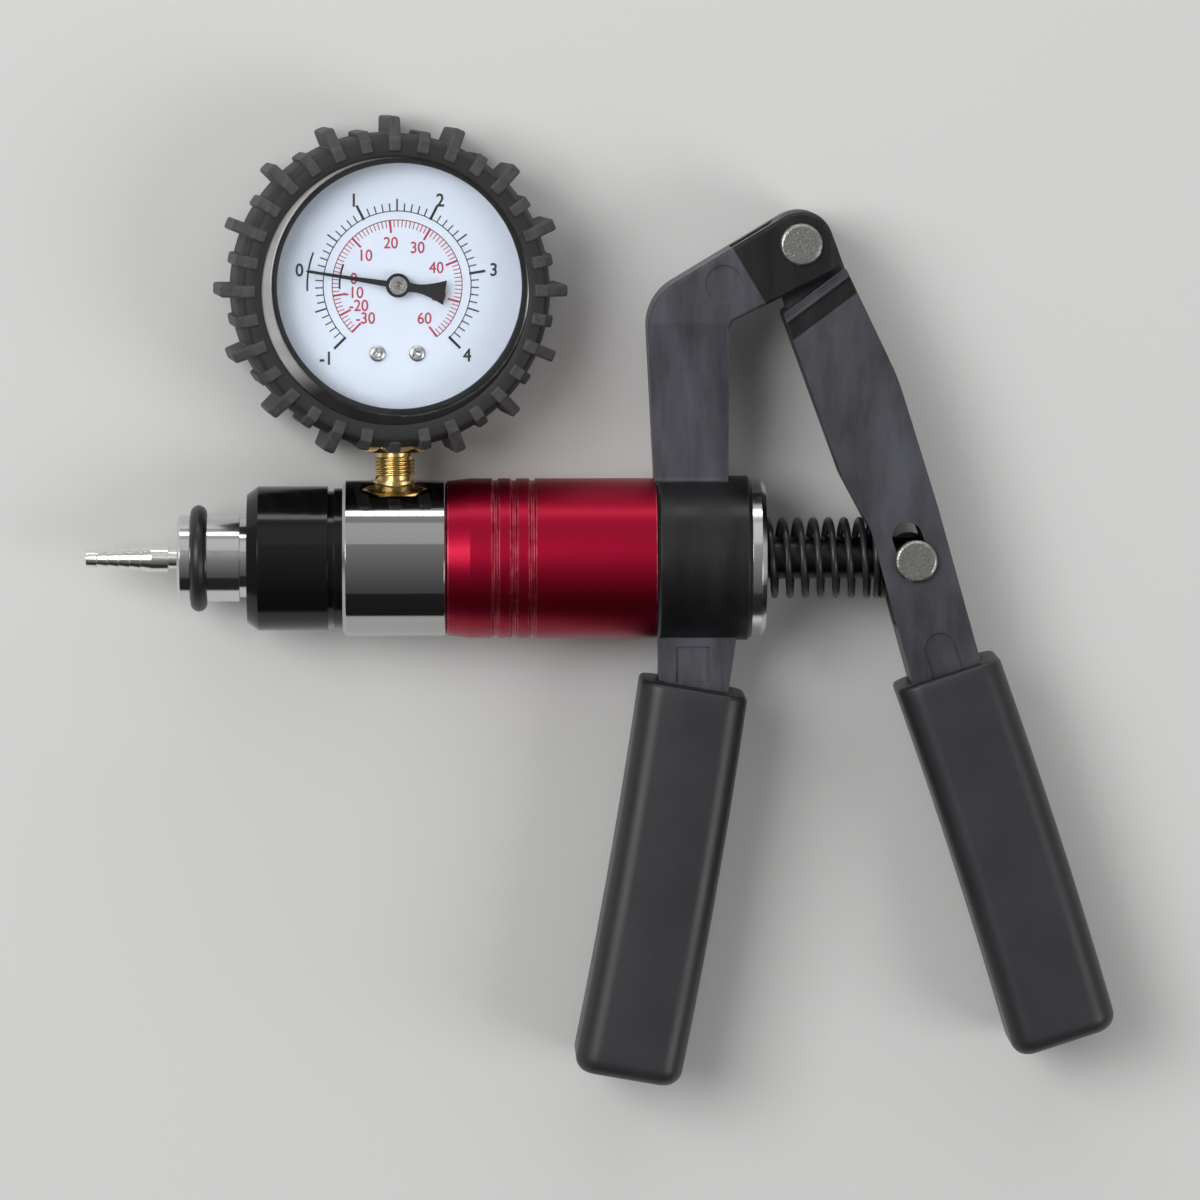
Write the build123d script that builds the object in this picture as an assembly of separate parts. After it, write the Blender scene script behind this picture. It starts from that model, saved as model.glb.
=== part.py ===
from build123d import *
import os
from math import acos, atan2, cos, degrees, hypot, pi, radians, sin, tan

# Hand vacuum pump, lying on its side with the dial up. Millimetres.
# +X runs along the pump from the hose end to the lever, +Y up the gauge stem and +Z out
# of the dial. The origin is on the pump axis, in the middle of the hose barb's land.

# ---- fits
slip = 0.05          # radial play of a fixed piece in its seat
running = 0.08       # radial play of a turning or sliding fit
gap = 0.3            # room between surfaces that pass each other

# ---- hose nozzle
barb_land_r = 2.55
barb_land_l = 3.2
barb_tip_r = 1.6
barb_taper_l = 12.4
barb_steps = 6
barb_drop = 0.28
barb_neck_r = 1.9
barb_neck_l = 1.8
barb_shank_r = 2.6
barb_shank_l = 6.0
air_r = 1.0

# ---- selector spool and its rings
spool_r = 8.2
spool_flange_l = 2.4
bumper_r = 10.2
bumper_section = 3.2
spool_land_l = 6.2
detent_l = 1.4
detent_depth = 0.8
spool_stem_l = 17.0
spool_tail_r = 5.6
spool_tail_l = 3.0
seal_section = 1.8
seal_inset = 2.6
seal_count = 3
selector_travel = 6.0
snap_ring_t = 1.0
snap_ring_r = 9.0
snap_groove_depth = 0.7

# ---- selector collar
collar_r = 13.7
collar_bevel_l = 2.1
collar_bevel_depth = 1.5
collar_body_l = 13.2
collar_groove_l = 1.2
collar_groove_depth = 0.9
collar_lip_l = 1.6
collar_lip_depth = 0.4
collar_spigot_r = 11.9
collar_spigot_l = 3.6
gallery_l = 1.2
gallery_depth = 0.8
passage_r = 0.6
passage_offset = 10.5
gasket_t = 0.7

# ---- manifold block
manifold_r = 14.8
manifold_l = 19.8
manifold_bevel = 0.6
port_depth = 4.4
gallery_bore_r = 1.5

# ---- cylinder barrel
barrel_r = 15.15
barrel_bore_r = 11.0
barrel_show_l = 39.6
barrel_cone_l = 4.3
barrel_cone_depth = 0.5
barrel_spigot_r = 12.4
barrel_spigot_l = 4.8
barrel_seat_r = 13.4
line_count = 3
line_first = 9.1
line_pitch = 3.5
line_w = 1.3
line_depth = 0.4

# ---- valve plate and valves
plate_r = 11.5
plate_t = 3.5
plate_seal_section = 1.1
valve_offset = 5.5
valve_disc_r = 3.2
valve_disc_t = 0.8
valve_stem_r = 1.1
valve_bulb_r = 1.5
valve_bulb_l = 1.2
valve_port_r = 0.7
valve_room = 2.0

# ---- end cap and rod guide
cap_r = 14.9
cap_l = 2.7
cap_bevel = 0.9
cap_bore_r = 8.4
cap_plug_r = 12.2
cap_plug_l = 4.0
guide_flange_l = 2.0
guide_cup_l = 10.0
guide_floor_l = 3.0

# ---- plunger
rod_r = 4.0
piston_l = 8.0
piston_edge = 0.5
piston_seal_section = 2.4
piston_nose_r = 4.6
piston_nose_l = 2.4
piston_screw_r = 1.6
piston_screw_l = 9.0
spigot_r = 2.8
washer_r = 7.75
washer_t = 1.1
washer_back = 5.1
clip_t = 0.8
clip_w = 2.1
clip_depth = 0.5

# ---- return spring
spring_r = 7.75
spring_wire_r = 0.68
spring_turns = 12.5

# ---- pins
pin_r = 2.5
pin_head_r = 4.0
pin_head_t = 1.1
pin_head_bevel = 0.4
pin_tail = 0.6

# ---- handle linkage
ring_r = 15.6
ring_l = 18.0
ring_bevel = 0.7
pivot_ahead = 9.1    # pivot beyond the clamp ring
pivot_h = 59.7       # pivot above the pump axis
pin_ahead = 28.2     # drive pin beyond the end cap, at rest
squeeze_deg = 15.0
drive_ratio = 63.75  # plunger travel per radian of squeeze
handle_t = 21.0

# ---- handle frame
arm_w = 13.3
arm_flare = 2.3
arm_slope = 31.0
fork_boss_r = 6.2
fork_under = 7.25    # fork's lower edge below the pivot
fork_under_slope = 26.3
fork_depth = 11.5
fork_gap = 10.2
elbow_r = 10.0
arm_edge = 0.5
arm_low_half_t = 5.2   # half the arm's thickness where it meets the clamp ring
tang_half_w = 6.25
tang_half_t = 5.2
core_w = 7.6
core_l = 11.0
core_depth = 12.5
core_rib = 2.2
mark_r = 3.5
mark_left = 1.0      # ejector mark from the arm's inner corner
mark_up = 7.4
mark_depth = 0.25
neck_shift = 0.2     # tang's neck beside the arm
panel_w = 6.4
panel_l = 6.6
panel_below = 1.0
panel_depth = 0.6

# ---- squeeze lever, measured along the line from the pivot to the drive pin
tongue_r = 6.4
tongue_t = 9.6
shoulder_in = 11.1
shoulder_out = 6.9
lever_in = 7.6
lever_out = 8.6
lever_out_low = 7.4
lever_out_top = 6.8
lever_waist = 6.0
waist_above_pin = 8.5
waist_ramp = 11.0
belly = 30.0         # fullest place of the lever's outer edge
neck_in = 7.0        # lever's edges where it enters the grip
neck_out = 6.5
lever_grip_shift = 1.5
channel_w = 16.2
channel_start = 18.0
channel_past_pin = 11.0
channel_web = 2.4
slot_travel = 4.8
slot_play = 0.35
shoulder_bevel = 1.2
sink_start = 1.7     # sunk band across the lever's face, from the shoulder
sink_w = 3.4
sink_depth = 0.8
arch_w = 6.0
arch_l = 8.0
arch_depth = 0.5

# ---- rubber grips
grip_half_w = 10.2
grip_half_t = 12.5
grip_corner = 4.5
grip_end_corner = 3.0
grip_top = 24.2      # fixed grip's top below the pump axis
grip_l = 75.5
grip_bow = 0.6
grip_wall = 8.0      # rubber past the end of the tang
grip_slope = 9.9
lever_grip_past_pin = 22.2
lever_grip_l = 74.0
lever_grip_slope = 2.1

# ---- gauge, in its own frame: hub at the origin, dial facing +Z, stem along -Y
gauge_turn = 5.0
case_r = 25.8
case_wall = 0.8
case_back = 11.0
case_front = 9.4
bezel_wall = 0.75
bezel_lip_w = 1.7    # bezel's lip and window seal over the case's rim
bezel_lip_t = 0.8
bezel_skirt = 3.5
window_seal_w = 2.65
window_seal_t = 0.5
lens_t = 1.8
dial_room = 1.2      # dial's edge inside the case wall
dial_t = 0.5
dial_z = 5.0
dial_hole_r = 2.0
screw_apart = 7.5
screw_below = 12.9
screw_head_r = 1.6
screw_head_t = 0.7
screw_shank_r = 0.9
screw_l = 4.0
stem_r = 4.6
stem_neck_r = 3.5
stem_top_r = 5.2
stem_neck_l = 5.4    # neck between the manifold and the hex
hex_w = 11.2
hex_l = 5.6
hex_to_case = 0.4
stem_bore_r = 1.4
block_w = 10.0
block_top = 10.9     # block's inner end below the hub
block_step = 17.2    # where the block steps back to take the tube, below the hub
block_back = 8.8

# ---- gauge works
works_plate_t = 1.0
foot_w = 5.0         # leg from the movement's plate down to the block
foot_shift = 2.0
foot_drop = 2.2
works_back = 3.6
works_front = 2.4
pinion_teeth = 10
sector_teeth = 80
tooth_module = 0.3
tooth_play = 0.1
mesh_play = 0.05
gear_t = 1.2
gear_z = -0.2
arbor_r = 0.7
sector_dir = -45.0   # sector's pivot seen from the hub
sector_first = -7    # teeth counted from the one in mesh at rest
sector_last = 2
sector_tail = 4.5
sector_rim_w = 1.6
sector_hub_r = 3.6
sector_tail_dir = -10.0
pillars = [(-2.6, 3.2), (12.6, -5.2), (9.4, -13.2)]
pillar_r = 1.0
link_t = 0.6
link_z = -1.75
stud_r = 0.45
tube_room = 3.4      # tube inside the case wall
tube_half_w = 1.1
tube_half_h = 3.0
tube_wall = 0.35
tube_z = -5.2
tube_tip_dir = -18.0
tube_sweep = 282.0
tip_reach = 2.1      # tube's closed tip reaches in from the tube
tip_w = 2.4
needle_dir = 81.0    # needle at zero, from straight up
needle_z = 7.0
needle_t = 0.45
needle_reach = 17.5
needle_tail = 9.0
needle_tail_w = 4.7
needle_hub_r = 2.3
bushing_r = 1.7
bushing_body_r = 1.2

# ---- rubber gauge boot
boot_play = 1.4      # radial room round the bezel
boot_wall = 1.6
boot_lip_w = 2.8     # lip in front of the bezel
boot_back = 13.0
boot_back_t = 1.7
boot_back_w = 10.0   # boot's turned edge behind the case
boot_front = 13.8
boot_lip_t = 1.0
boot_hang = (-0.93, -0.93)   # the loose boot sits off centre, against the bezel
boot_bevel_l = 4.8
boot_bevel_depth = 1.2
boot_stem_r = 6.8
lug_count = 16
lug_w = 2.3
lug_h = 3.2
lug_short_h = 0.9
lug_proud = 0.7

# ---- stations along the pump axis, from the hose end to the lever
x_neck = barb_land_l / 2
x_spool = x_neck + barb_neck_l
x_bumper = x_spool + spool_flange_l
x_land = x_bumper + bumper_section
x_detent = x_land + spool_land_l
x_collar = x_detent + detent_l
x_collar_lip = x_collar + collar_bevel_l + collar_body_l + collar_groove_l
x_manifold = x_collar_lip + collar_lip_l
x_spigot_end = x_manifold + collar_spigot_l
x_gasket_end = x_spigot_end + gasket_t
x_barrel = x_manifold + manifold_l
x_plate = x_barrel - barrel_spigot_l
x_chamber = x_plate + plate_t
x_ring = x_barrel + barrel_show_l
x_cap = x_ring + ring_l
x_cap_end = x_cap + cap_l
x_pin = x_cap_end + pin_ahead
x_washer_end = x_pin - washer_back
x_stem = x_manifold + manifold_l / 2
x_tail = x_collar + spool_stem_l
x_spool_end = x_tail + spool_tail_l
x_snap_end = x_spool_end + selector_travel + gap

# ---- stations round the gauge
hex_low = manifold_r + stem_neck_l
gauge_h = hex_low + hex_l + hex_to_case + case_r
tube_r = case_r - case_wall - tube_room - tube_half_w
bezel_r = case_r + slip + bezel_wall
boot_in = bezel_r + boot_play
boot_r = boot_in + boot_wall
boot_back_open_r = boot_r - boot_back_w

# ---- linkage geometry
pivot = Vector(x_cap + pivot_ahead, pivot_h)
pin_reach = hypot(x_pin - pivot.X, pivot_h)
lean = atan2(x_pin - pivot.X, pivot_h)
stroke = drive_ratio * radians(squeeze_deg)
x_piston = x_chamber + valve_room + stroke


def save(node, solid):
    """Write one node, coloured by nothing and placed in the pump's frame."""
    solid.label = node
    export_step(solid, "parts/" + node + ".step")


def turned(*points):
    """A solid turned about the pump axis from an outline of (x, radius) points."""
    return revolve(make_face(Polyline(*points, close=True)), Axis.X)


def along_x(x0, x1, r, y=0.0, z=0.0):
    """A plain bar parallel to the pump axis."""
    bar = Cylinder(r, x1 - x0, align=(Align.CENTER, Align.CENTER, Align.MIN))
    return Pos(x0, y, z) * Rot(0, 90, 0) * bar


def along_z(x, y, z0, z1, r):
    """A plain bar parallel to the pivot axis."""
    bar = Cylinder(r, z1 - z0, align=(Align.CENTER, Align.CENTER, Align.MIN))
    return Pos(x, y, z0) * bar


def ring_on_axis(x, middle_r, section_r):
    """A round-section rubber ring on the pump axis."""
    return Pos(x, 0, 0) * Rot(0, 90, 0) * Torus(middle_r, section_r)


def rounded(corners):
    """A face through (point, radius) corners, each rounded by its own radius."""
    face = make_face(Polyline(*[point for point, radius in corners], close=True))
    for point, radius in corners:
        if radius:
            face = fillet(face.vertices().sort_by_distance(point)[0], radius)
    return face


def slab(outline, z0, z1):
    """A flat piece between two heights."""
    return Pos(0, 0, z0) * extrude(outline, z1 - z0)


os.makedirs("parts", exist_ok=True)

# ================================================================ hose nozzle
# Each step of the taper rises to a crest and drops a little before the next one.
step_l = barb_taper_l / barb_steps
step_rise = (barb_land_r - barb_tip_r) / barb_steps
outline = [(-x_neck - barb_taper_l, air_r)]
for step in range(barb_steps):
    start = -x_neck - barb_taper_l + step * step_l
    crest = barb_tip_r + step_rise * (step + 1)
    outline.append((start, crest - step_rise - (barb_drop if step else 0.0)))
    outline.append((start + step_l, crest))
x_shank_end = x_spool + barb_shank_l
outline += [(x_neck, barb_land_r), (x_neck, barb_neck_r), (x_spool, barb_neck_r),
            (x_spool, barb_shank_r), (x_shank_end, barb_shank_r), (x_shank_end, air_r)]
save("hose_nozzle", turned(*outline))

# ============================================================= selector spool
# The spool slides in the collar. Its seals are one travel apart, so its cross drilling
# meets the suction gallery when the spool is out and the pressure gallery when it is in.
bumper_mid_r = bumper_r - bumper_section / 2
bumper_ring_r = bumper_section / 2 - slip
bore_r = spool_r + running
seal_ring_r = seal_section / 2
seal_mid_r = bore_r - slip - seal_ring_r
seal_floor_r = seal_mid_r - seal_ring_r - slip
seals = [x_collar + seal_inset + i * selector_travel for i in range(seal_count)]
galleries = [(seals[i] + seals[i + 1]) / 2 for i in range(seal_count - 1)]
snap_floor_r = spool_tail_r - snap_groove_depth

spool = turned((x_spool, 0), (x_spool, spool_r), (x_tail, spool_r), (x_tail, spool_tail_r),
               (x_spool_end, spool_tail_r), (x_spool_end, 0))
spool = chamfer(spool.edges().filter_by(GeomType.CIRCLE).group_by(Axis.X)[0], 0.5)
spool -= turned((x_bumper, bumper_mid_r - bumper_ring_r - slip), (x_bumper, bumper_r),
                (x_land, bumper_r), (x_land, bumper_mid_r - bumper_ring_r - slip))
spool -= turned((x_detent, spool_r - detent_depth), (x_detent, bumper_r),
                (x_collar, bumper_r), (x_collar, spool_r - detent_depth))
for x in seals:
    half = seal_ring_r + slip
    spool -= turned((x - half, seal_floor_r), (x - half, bumper_r),
                    (x + half, bumper_r), (x + half, seal_floor_r))
snap_0 = x_tail + slip
snap_1 = snap_0 + snap_ring_t
spool -= turned((snap_0 - slip, snap_floor_r), (snap_0 - slip, bumper_r),
                (snap_1 + slip, bumper_r), (snap_1 + slip, snap_floor_r))
spool -= along_x(x_spool, x_shank_end + slip, barb_shank_r + slip)
spool -= along_x(x_shank_end, x_spool_end, air_r)
spool -= Pos(galleries[0], 0, 0) * Cylinder(passage_r, 2 * spool_r)
save("selector_spool", spool)

save("spool_bumper", ring_on_axis((x_bumper + x_land) / 2, bumper_mid_r, bumper_ring_r))
save("spool_seals", Compound([ring_on_axis(x, seal_mid_r, seal_ring_r) for x in seals]))


def snap_ring(bore, outer, thick, opening):
    """An open retaining ring lying in the XY plane, with its gap towards -Y."""
    ring = slab(Circle(outer) - Circle(bore), 0, thick)
    return ring - Pos(0, -outer, 0) * Box(opening, 2 * outer, 4 * thick)


spool_ring = snap_ring(snap_floor_r + slip, snap_ring_r, snap_ring_t, spool_tail_r)
save("spool_retaining_ring", Pos(snap_0, 0, 0) * Rot(0, 90, 0) * spool_ring)

# ============================================================ selector collar
shoulder_r = snap_ring_r + slip + slip
collar = turned(
    (x_collar, bore_r), (x_collar, collar_r - collar_bevel_depth),
    (x_collar + collar_bevel_l, collar_r),
    (x_collar_lip - collar_groove_l, collar_r),
    (x_collar_lip - collar_groove_l, collar_r - collar_groove_depth),
    (x_collar_lip, collar_r - collar_groove_depth),
    (x_collar_lip, collar_r - collar_lip_depth), (x_manifold, collar_r - collar_lip_depth),
    (x_manifold, collar_spigot_r), (x_spigot_end, collar_spigot_r),
    (x_spigot_end, shoulder_r), (x_tail, shoulder_r), (x_tail, bore_r))
for x in galleries:
    collar -= turned((x - gallery_l / 2, bore_r - slip), (x - gallery_l / 2, bore_r + gallery_depth),
                     (x + gallery_l / 2, bore_r + gallery_depth), (x + gallery_l / 2, bore_r - slip))
# One axial passage runs to each gallery, and a short cross drilling joins the two.
for x, side in zip(galleries, (1, -1)):
    collar -= along_x(x, x_spigot_end, passage_r, z=side * passage_offset)
    collar -= Pos(x, 0, side * (bore_r + passage_offset) / 2) * Cylinder(
        passage_r * 0.9, passage_offset - bore_r + gallery_depth / 2)
save("selector_collar", collar)

collar_gasket = turned((x_spigot_end, shoulder_r), (x_spigot_end, collar_spigot_r),
                       (x_gasket_end, collar_spigot_r), (x_gasket_end, shoulder_r))
for side in (1, -1):
    collar_gasket -= along_x(x_spigot_end, x_gasket_end, passage_r, z=side * passage_offset)
save("collar_gasket", collar_gasket)

# ============================================================= manifold block
# A plain bright ring outside. Inside, a web between two recesses carries the gauge port
# and one slot per valve, each leading out to its passage.
manifold = along_x(x_manifold, x_barrel, manifold_r)
manifold = chamfer(manifold.edges(), manifold_bevel)
manifold -= along_x(x_manifold, x_gasket_end, collar_spigot_r + slip)
manifold -= along_x(x_gasket_end, x_snap_end, shoulder_r + slip)
manifold -= along_x(x_plate, x_barrel, barrel_spigot_r + slip)
port_floor = manifold_r - port_depth
manifold -= Pos(x_stem, manifold_r, 0) * Rot(90, 0, 0) * Cylinder(
    stem_r + slip, port_depth, align=(Align.CENTER, Align.CENTER, Align.MIN))
manifold -= Pos(x_stem, port_floor, 0) * Rot(90, 0, 0) * Cylinder(
    gallery_bore_r, port_floor, align=(Align.CENTER, Align.CENTER, Align.MIN))
manifold -= along_x(x_snap_end, x_stem, gallery_bore_r)
for side in (1, -1):
    manifold -= along_x(x_gasket_end, x_plate, passage_r, z=side * passage_offset)
    pocket_r = valve_disc_r + gap if side < 0 else valve_bulb_r + gap
    for z in (valve_offset, passage_offset):
        manifold -= along_x(x_plate - valve_room, x_plate,
                            pocket_r if z == valve_offset else passage_r, z=side * z)
    manifold -= Pos(x_plate - valve_room / 2, 0, side * (valve_offset + passage_offset) / 2) * Box(
        valve_room, 2 * passage_r, passage_offset - valve_offset)
save("manifold_block", manifold)

# ============================================================ cylinder barrel
x_cap_plug = x_cap - cap_plug_l
x_guide_flange = x_cap_plug - guide_flange_l
barrel = turned(
    (x_plate, plate_r + slip), (x_plate, barrel_spigot_r), (x_barrel, barrel_spigot_r),
    (x_barrel, barrel_r - barrel_cone_depth), (x_barrel + barrel_cone_l, barrel_r),
    (x_ring, barrel_r), (x_ring, barrel_seat_r), (x_cap, barrel_seat_r),
    (x_cap, cap_plug_r + slip), (x_guide_flange, cap_plug_r + slip),
    (x_guide_flange, barrel_bore_r), (x_chamber, barrel_bore_r), (x_chamber, plate_r + slip))
for i in range(line_count):
    x = x_barrel + line_first + i * line_pitch
    barrel -= turned((x - line_w / 2, barrel_r + slip), (x - line_w / 4, barrel_r - line_depth),
                     (x + line_w / 4, barrel_r - line_depth), (x + line_w / 2, barrel_r + slip))
save("cylinder_barrel", barrel)

# ==================================================== valve plate and valves
# Two rubber mushrooms face opposite ways: the inlet's disc is on the cylinder side and
# the outlet's is on the manifold side.
plate_seal_r = plate_seal_section / 2
valve_plate = along_x(x_plate, x_chamber, plate_r)
x_mid = (x_plate + x_chamber) / 2
plate_floor_r = plate_r - plate_seal_section - slip
half = plate_seal_r + slip
valve_plate -= turned((x_mid - half, plate_floor_r), (x_mid - half, plate_r + 1),
                      (x_mid + half, plate_r + 1), (x_mid + half, plate_floor_r))
for side in (1, -1):
    valve_plate -= along_x(x_plate, x_chamber, valve_stem_r + slip, z=side * valve_offset)
    for turn in range(4):
        angle = radians(45 + 90 * turn)
        reach = (valve_stem_r + valve_disc_r) / 2
        valve_plate -= along_x(x_plate, x_chamber, valve_port_r, y=reach * cos(angle),
                               z=side * valve_offset + reach * sin(angle))
save("valve_plate", valve_plate)
save("valve_plate_seal", ring_on_axis(x_mid, plate_r - plate_seal_r, plate_seal_r))


def mushroom_valve():
    """A mushroom valve standing on x = 0, its disc on the +X side of the plate."""
    return turned((0, 0), (-plate_t - valve_bulb_l, 0), (-plate_t - valve_bulb_l, valve_stem_r * 0.6),
                  (-plate_t - slip, valve_bulb_r), (-plate_t - slip, valve_stem_r), (0, valve_stem_r),
                  (0, valve_disc_r), (valve_disc_t * 0.4, valve_disc_r),
                  (valve_disc_t, valve_stem_r), (valve_disc_t, 0))


save("inlet_valve", Pos(x_chamber, 0, valve_offset) * mushroom_valve())
save("outlet_valve", Pos(x_plate, 0, -valve_offset) * Rot(0, 180, 0) * mushroom_valve())

# ===================================================== end cap and rod guide
end_cap = along_x(x_cap, x_cap_end, cap_r)
end_cap = chamfer(end_cap.edges().group_by(Axis.X)[-1], cap_bevel)
end_cap += along_x(x_cap_plug, x_cap, cap_plug_r)
end_cap -= along_x(x_cap_plug, x_cap_end, cap_bore_r)
end_cap = chamfer(end_cap.edges().filter_by(GeomType.CIRCLE).group_by(Axis.X)[-1].sort_by(
    SortBy.RADIUS)[0], 0.5)
save("end_cap", end_cap)

x_guide = x_cap_plug - guide_cup_l
x_spring_seat = x_guide + guide_floor_l
save("rod_guide", turned(
    (x_guide, rod_r + running), (x_guide, barrel_bore_r - slip),
    (x_guide_flange, barrel_bore_r - slip), (x_guide_flange, cap_plug_r),
    (x_cap_plug, cap_plug_r), (x_cap_plug, cap_bore_r), (x_spring_seat, cap_bore_r),
    (x_spring_seat, rod_r + running)))

# =================================================================== plunger
# The rod carries the piston at one end and is cross-drilled for the drive pin at its
# round nose.
x_piston_end = x_piston + piston_l
x_nose_floor = x_piston + piston_nose_l
x_screw_end = x_nose_floor + piston_screw_l
piston_r = barrel_bore_r - running
x_washer = x_washer_end - washer_t

rod = along_x(x_piston_end, x_pin, rod_r) + Pos(x_pin, 0, 0) * Sphere(rod_r)
rod += along_x(x_nose_floor, x_piston_end, spigot_r)
rod -= along_x(x_nose_floor, x_screw_end + slip, piston_screw_r + slip)
rod -= along_z(x_pin, 0, -rod_r, rod_r, pin_r + slip)
rod -= turned((x_washer_end - slip, rod_r - clip_depth), (x_washer_end - slip, rod_r + 1),
              (x_washer_end + clip_t + slip, rod_r + 1),
              (x_washer_end + clip_t + slip, rod_r - clip_depth))
save("plunger_rod", rod)

piston_seal_r = piston_seal_section / 2
seal_mid = barrel_bore_r - slip - piston_seal_r
half = piston_seal_r + slip
x_seal = x_piston + piston_l / 2
piston = along_x(x_piston, x_piston_end, piston_r)
piston = chamfer(piston.edges(), piston_edge)
piston -= turned((x_seal - half, seal_mid - half), (x_seal - half, barrel_bore_r),
                 (x_seal + half, barrel_bore_r), (x_seal + half, seal_mid - half))
piston -= along_x(x_piston, x_nose_floor, piston_nose_r)
piston -= along_x(x_nose_floor, x_piston_end, spigot_r + slip)
save("piston", piston)
save("piston_seal", ring_on_axis(x_seal, seal_mid, piston_seal_r))

screw = along_x(x_piston + slip, x_nose_floor, piston_nose_r - gap)
screw -= along_x(x_piston, x_piston + piston_nose_l / 2, piston_screw_r)
screw += along_x(x_nose_floor, x_screw_end, piston_screw_r)
save("piston_screw", screw)

save("spring_washer", turned((x_washer, rod_r + slip), (x_washer, washer_r),
                             (x_washer_end, washer_r), (x_washer_end, rod_r + slip)))
clip_bore = rod_r - clip_depth + slip
rod_clip = snap_ring(clip_bore, clip_bore + clip_w, clip_t, rod_r)
save("washer_retaining_ring", Pos(x_washer_end, 0, 0) * Rot(0, 90, 0) * rod_clip)

# ============================================================= return spring
# The wire runs from the rod guide's floor to the washer, and both ends lie a wire's
# radius inside those faces.
spring_mid_r = spring_r - spring_wire_r
x_spring_0 = x_spring_seat + spring_wire_r
spring_l = x_washer - spring_wire_r - x_spring_0
helix = Helix(pitch=spring_l / spring_turns, height=spring_l, radius=spring_mid_r)
section = Plane(origin=helix @ 0, z_dir=helix % 0) * RegularPolygon(spring_wire_r, 8)
spring = sweep(section, path=helix)
save("return_spring", Pos(x_spring_0, 0, 0) * Rot(0, 90, 0) * spring)


def headed_pin(x, y, under_head, clip_face):
    """A flat-headed pin along Z with a groove for its retaining ring at the far end."""
    tail = clip_face - clip_t - pin_tail
    pin = along_z(x, y, tail, under_head, pin_r)
    head = along_z(x, y, under_head, under_head + pin_head_t, pin_head_r)
    pin += chamfer(head.edges().group_by(Axis.Z)[-1], pin_head_bevel)
    groove = along_z(x, y, clip_face - clip_t - slip, clip_face, pin_r + 1)
    groove -= along_z(x, y, clip_face - clip_t - slip, clip_face, pin_r - clip_depth)
    return pin - groove


def pin_clip(x, y, clip_face):
    """The retaining ring of a headed pin."""
    bore = pin_r - clip_depth + slip
    return Pos(x, y, clip_face - clip_t) * snap_ring(bore, bore + clip_w, clip_t, pin_r)


handle_face = handle_t / 2
save("pivot_pin", headed_pin(pivot.X, pivot.Y, handle_face, -handle_face))
save("pivot_pin_clip", pin_clip(pivot.X, pivot.Y, -handle_face))
save("drive_pin", headed_pin(x_pin, 0, handle_face + gap, -handle_face - gap))
save("drive_pin_clip", pin_clip(x_pin, 0, -handle_face - gap))


def bar(start, end, half_w, bow, half_t):
    """A flat bar between two points whose two long sides bow the same way."""
    side = (end - start).normalized().rotate(Axis.Z, 90) * half_w
    left = SagittaArc(start - side, end - side, bow)
    right = SagittaArc(start + side, end + side, bow)
    ends = Line(left @ 0, right @ 0) + Line(left @ 1, right @ 1)
    return extrude(make_face(left + right + ends), half_t, both=True)


def grip(start, end, bow, tang):
    """A moulded rubber sleeve over a tang, closed at its lower end."""
    sleeve = bar(start, end, grip_half_w, bow, grip_half_t)
    along = (end - start).normalized()
    long_edges = [e for e in sleeve.edges() if abs((e % 0.5).dot(along)) > 0.9]
    sleeve = fillet(long_edges, grip_corner)
    low_face = sleeve.faces().sort_by_distance(end + along * 50)[0]
    sleeve = fillet(low_face.edges(), grip_end_corner)
    top_face = sleeve.faces().sort_by_distance(start - along * 50)[0]
    sleeve = fillet(top_face.edges(), 0.8)
    return sleeve - tang


def polar(angle, reach=1.0):
    """A vector in the XY plane at an angle in degrees."""
    return Vector(reach * cos(radians(angle)), reach * sin(radians(angle)))


# ============================================================== handle frame
# One moulding: the clamp ring on the barrel, the arm up to the fork that holds the
# lever's tongue, and the tang for the fixed grip.
arm_left = x_ring + 0.3
arm_right = arm_left + arm_w
elbow_left = arm_left - arm_flare
top = pivot + polar(arm_slope + 90, fork_boss_r)
elbow = Vector(elbow_left, top.Y + (elbow_left - top.X) * tan(radians(arm_slope)))
under = pivot + polar(fork_under_slope - 90, fork_under)
toe = Vector(pivot.X + fork_boss_r + gap,
             under.Y + (pivot.X + fork_boss_r + gap - under.X) * tan(radians(fork_under_slope)))
armpit = Vector(arm_right, under.Y + (arm_right - under.X) * tan(radians(fork_under_slope)))

arm = rounded([(Vector(arm_left, 0), 0), (elbow, elbow_r), (top, 0),
               (pivot + polar(0, fork_boss_r), 0), (toe, 1.0), (armpit, 2.0),
               (Vector(arm_right, 0), 0)])
arm += Pos(pivot.X, pivot.Y) * Circle(fork_boss_r)
frame = extrude(arm, handle_face, both=True)
rim = frame.edges().filter_by(Plane.XY)
frame = chamfer([e for e in rim if e.center().Y > armpit.Y], arm_edge)
# Below the elbow both faces of the arm fall away towards the clamp ring.
for side in (1, -1):
    fall = Plane.YZ * make_face(Polyline(
        (armpit.Y, side * handle_face), (ring_r, side * arm_low_half_t), (0, side * arm_low_half_t),
        (0, side * handle_t), (armpit.Y, side * handle_t), close=True))
    frame -= Pos(elbow_left - gap, 0, 0) * extrude(fall, arm_right - elbow_left + 2 * gap)

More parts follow.
